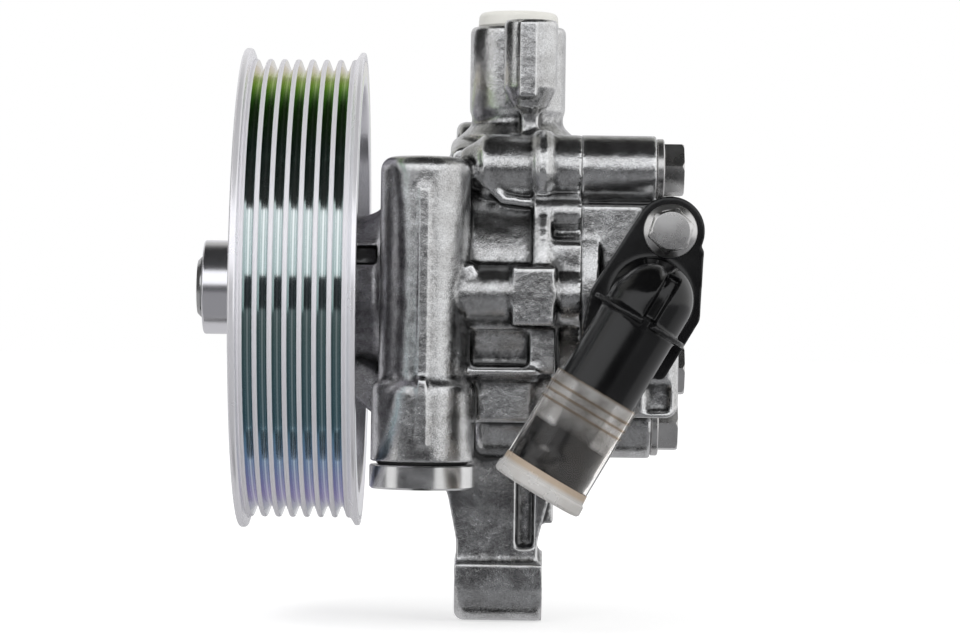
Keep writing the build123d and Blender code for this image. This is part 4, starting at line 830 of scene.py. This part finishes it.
# White plug in the outlet
outletPlug = {
    "x": 53.73, "y": -2.0, "seat": 66.7, "around": 160, "head": 10.15, "height": 3.8, "headRound": 1.4,
    "headWall": 1.0, "draft": 0.3, "rimHeight": 0.5, "rimRound": 0.3, "seatRound": 0.15,
    "stem": 7.42, "stemLength": 12.0, "stemWall": 1.6, "stemRoot": 0.2, "stemRound": 0.5,
    "mouthRound": 0.4, "hollowRound": 0.6,
}


def plugProfile():
    p = outletPlug
    seat, top, low = p["seat"], p["seat"] + p["height"], p["seat"] - p["stemLength"]
    hollow, ceiling = p["stem"] - p["stemWall"], p["seat"] - p["headWall"]
    return softened([
        (top, 0, 0), (top, p["head"] - p["draft"], p["headRound"]),
        (seat + p["rimHeight"], p["head"], p["rimRound"]), (seat, p["head"] - p["draft"], p["seatRound"]),
        (seat, p["stem"], p["stemRoot"]), (low, p["stem"], p["stemRound"]), (low, hollow, p["mouthRound"]),
        (ceiling, hollow, p["hollowRound"]), (ceiling, 0, 0)], closed=False, steps=4)


outletPlace = standing("z", outletPlug["x"], outletPlug["y"])
makePiece(
    "whitePlug", [lathe(plugProfile(), outletPlace, outletPlug["around"], closed=False)], "whitePlastic",
    "plug", ["outlet_plug"])


# Studio: panels on a sphere that only the gloss sees
studio = {"radius": 2.6, "steps": 24, "fadeStart": 0.1}
panels = {
    # azimuth from the camera's side, elevation, colour, soft stretch at the lower and upper edge
    "cameraFlag": ((-55, 29), (-11, 5.5), (0.05, 0.05, 0.055), (0, 0)),
    "frontSoftbox": ((-62, 62), (6.6, 40), (1.15, 1.16, 1.18), (0, 0)),
    "ceilingFlag": ((-180, 180), (69, 90), (0.03, 0.03, 0.03), (0, 0)),
    "ceilingFrontFlag": ((-90, 90), (40, 69), (0.03, 0.03, 0.03), (0, 0)),
    "rearHighCard": ((90, 270), (34, 69), (0.50, 0.50, 0.48), (0, 22)),
    "rearMiddleCard": ((133, 227), (-8, 34), (0.72, 0.72, 0.73), (0, 0)),
    "leftFlag": ((-133, -83), (-60, 34), (0.04, 0.04, 0.04), (0, 0)),
    "frontLowCard": ((-80, 80), (-77, -11), (0.26, 0.262, 0.27), (0, 0)),
    "rearLowCard": ((80, 280), (-77, -8), (0.56, 0.56, 0.57), (0, 0)),
    "underFlag": ((-180, 180), (-90, -78), (0.01, 0.01, 0.01), (0, 0)),
}


def spread(limits):
    low, high = limits
    return [math.radians(low + (high - low) * step / studio["steps"]) for step in range(studio["steps"] + 1)]


def glowing(name, baseColour, colour):
    material, tree, shader = freshMaterial(name)
    shader.inputs["Base Color"].default_value = baseColour
    shader.inputs["Specular IOR Level"].default_value = 0
    shader.inputs["Emission Color"].default_value = colour
    return material, tree, shader


def studioPanel(name, azimuths, elevations, colour, soft):
    verts, faces = [], []
    for elevation in spread(elevations):
        for azimuth in spread(azimuths):
            verts.append(Vector((
                math.sin(azimuth) * math.cos(elevation), -math.cos(azimuth) * math.cos(elevation),
                math.sin(elevation))) * studio["radius"])
    across = studio["steps"] + 1
    for row in range(studio["steps"]):
        for column in range(studio["steps"]):
            start = row * across + column
            faces.append((start, start + 1, start + across + 1, start + across))
    panel = newObject(name, verts, faces)
    material, tree, shader = glowing(name, (0, 0, 0, 1), (*colour, 1))
    shader.inputs["Emission Strength"].default_value = 1
    if max(soft) > 0:
        (low, high), fade = elevations, studio["fadeStart"]
        bottom, bottomFull, top, topFull = [
            math.sin(math.radians(edge)) * studio["radius"]
            for edge in (low, low + soft[0] + fade, high, high - soft[1] - fade)]
        height = coordinate(tree, objectPlace(tree), "Z")
        tree.links.new(times(
            tree, between(tree, height, bottom, bottomFull), between(tree, height, top, topFull)),
            shader.inputs["Emission Strength"])
    panel.data.materials.append(material)
    panel.visible_camera = False
    panel.visible_diffuse = False
    panel.visible_shadow = False


for name, facts in panels.items():
    studioPanel(name, *facts)

# Pale floor and white surroundings
surroundings = {
    "floor": -0.0838, "half": 6.0, "floorColour": (0.62, 0.62, 0.62, 1), "floorWhite": 0.58,
    "onObject": 0.75, "inView": 1.0,
}


def lookedAt(tree):
    path = tree.nodes.new("ShaderNodeLightPath").outputs
    inGloss = larger(tree, path["Is Glossy Ray"], path["Is Transmission Ray"])
    return larger(tree, path["Is Camera Ray"], inGloss)


def makeFloor():
    half, z = surroundings["half"], surroundings["floor"]
    corners = [(-half, -half, z), (half, -half, z), (half, half, z), (-half, half, z)]
    floor = newObject("floor", corners, [(0, 1, 2, 3)])
    material, tree, shader = glowing("paleFloor", surroundings["floorColour"], (1, 1, 1, 1))
    shader.inputs["Roughness"].default_value = 1.0
    glow = times(tree, lookedAt(tree), surroundings["floorWhite"])
    tree.links.new(glow, shader.inputs["Emission Strength"])
    floor.data.materials.append(material)
    floor.visible_glossy = False


def makeSky():
    world = bpy.data.worlds.new("studio")
    bpy.context.scene.world = world
    world.use_nodes = True
    tree = world.node_tree
    background = tree.nodes["Background"]
    background.inputs["Color"].default_value = (1, 1, 1, 1)
    strength = between(tree, lookedAt(tree), 0, 1, surroundings["onObject"], surroundings["inView"])
    tree.links.new(strength, background.inputs["Strength"])


makeFloor()
makeSky()

# Lamps, in metres and watts
lamps = {
    "keyLamp": {"place": (-0.7, -1.2, 1.3), "size": 1.0, "power": 9.0},
    "rightLamp": {"place": (1.4, -0.9, 0.6), "size": 0.8, "power": 6.0},
}
lampAim = Vector((0.04, 0, 0))
for name, facts in lamps.items():
    data = bpy.data.lights.new(name, "AREA")
    data.size = facts["size"]
    data.energy = facts["power"]
    lamp = bpy.data.objects.new(name, data)
    bpy.context.scene.collection.objects.link(lamp)
    lamp.location = facts["place"]
    lamp.visible_glossy = False  # the panels make the reflections
    lamp.rotation_euler = (lampAim - lamp.location).to_track_quat("-Z", "Y").to_euler()

# Camera at the photograph's angle
view = {"place": (0.04496, -0.900, -0.00718), "roll": 0.8, "lens": 132.64, "sensor": 36, "near": 0.05}
camera = bpy.data.objects.new("camera", bpy.data.cameras.new("camera"))
bpy.context.scene.collection.objects.link(camera)
camera.data.sensor_width = view["sensor"]
camera.data.lens = view["lens"]
camera.data.clip_start = view["near"]
camera.matrix_world = Matrix.Translation(view["place"]) @ Matrix.Rotation(
    math.radians(90), 4, "X") @ Matrix.Rotation(math.radians(view["roll"]), 4, "Z")
bpy.context.scene.camera = camera
bpy.context.scene.view_settings.view_transform = "Standard"
print("studio and camera set")
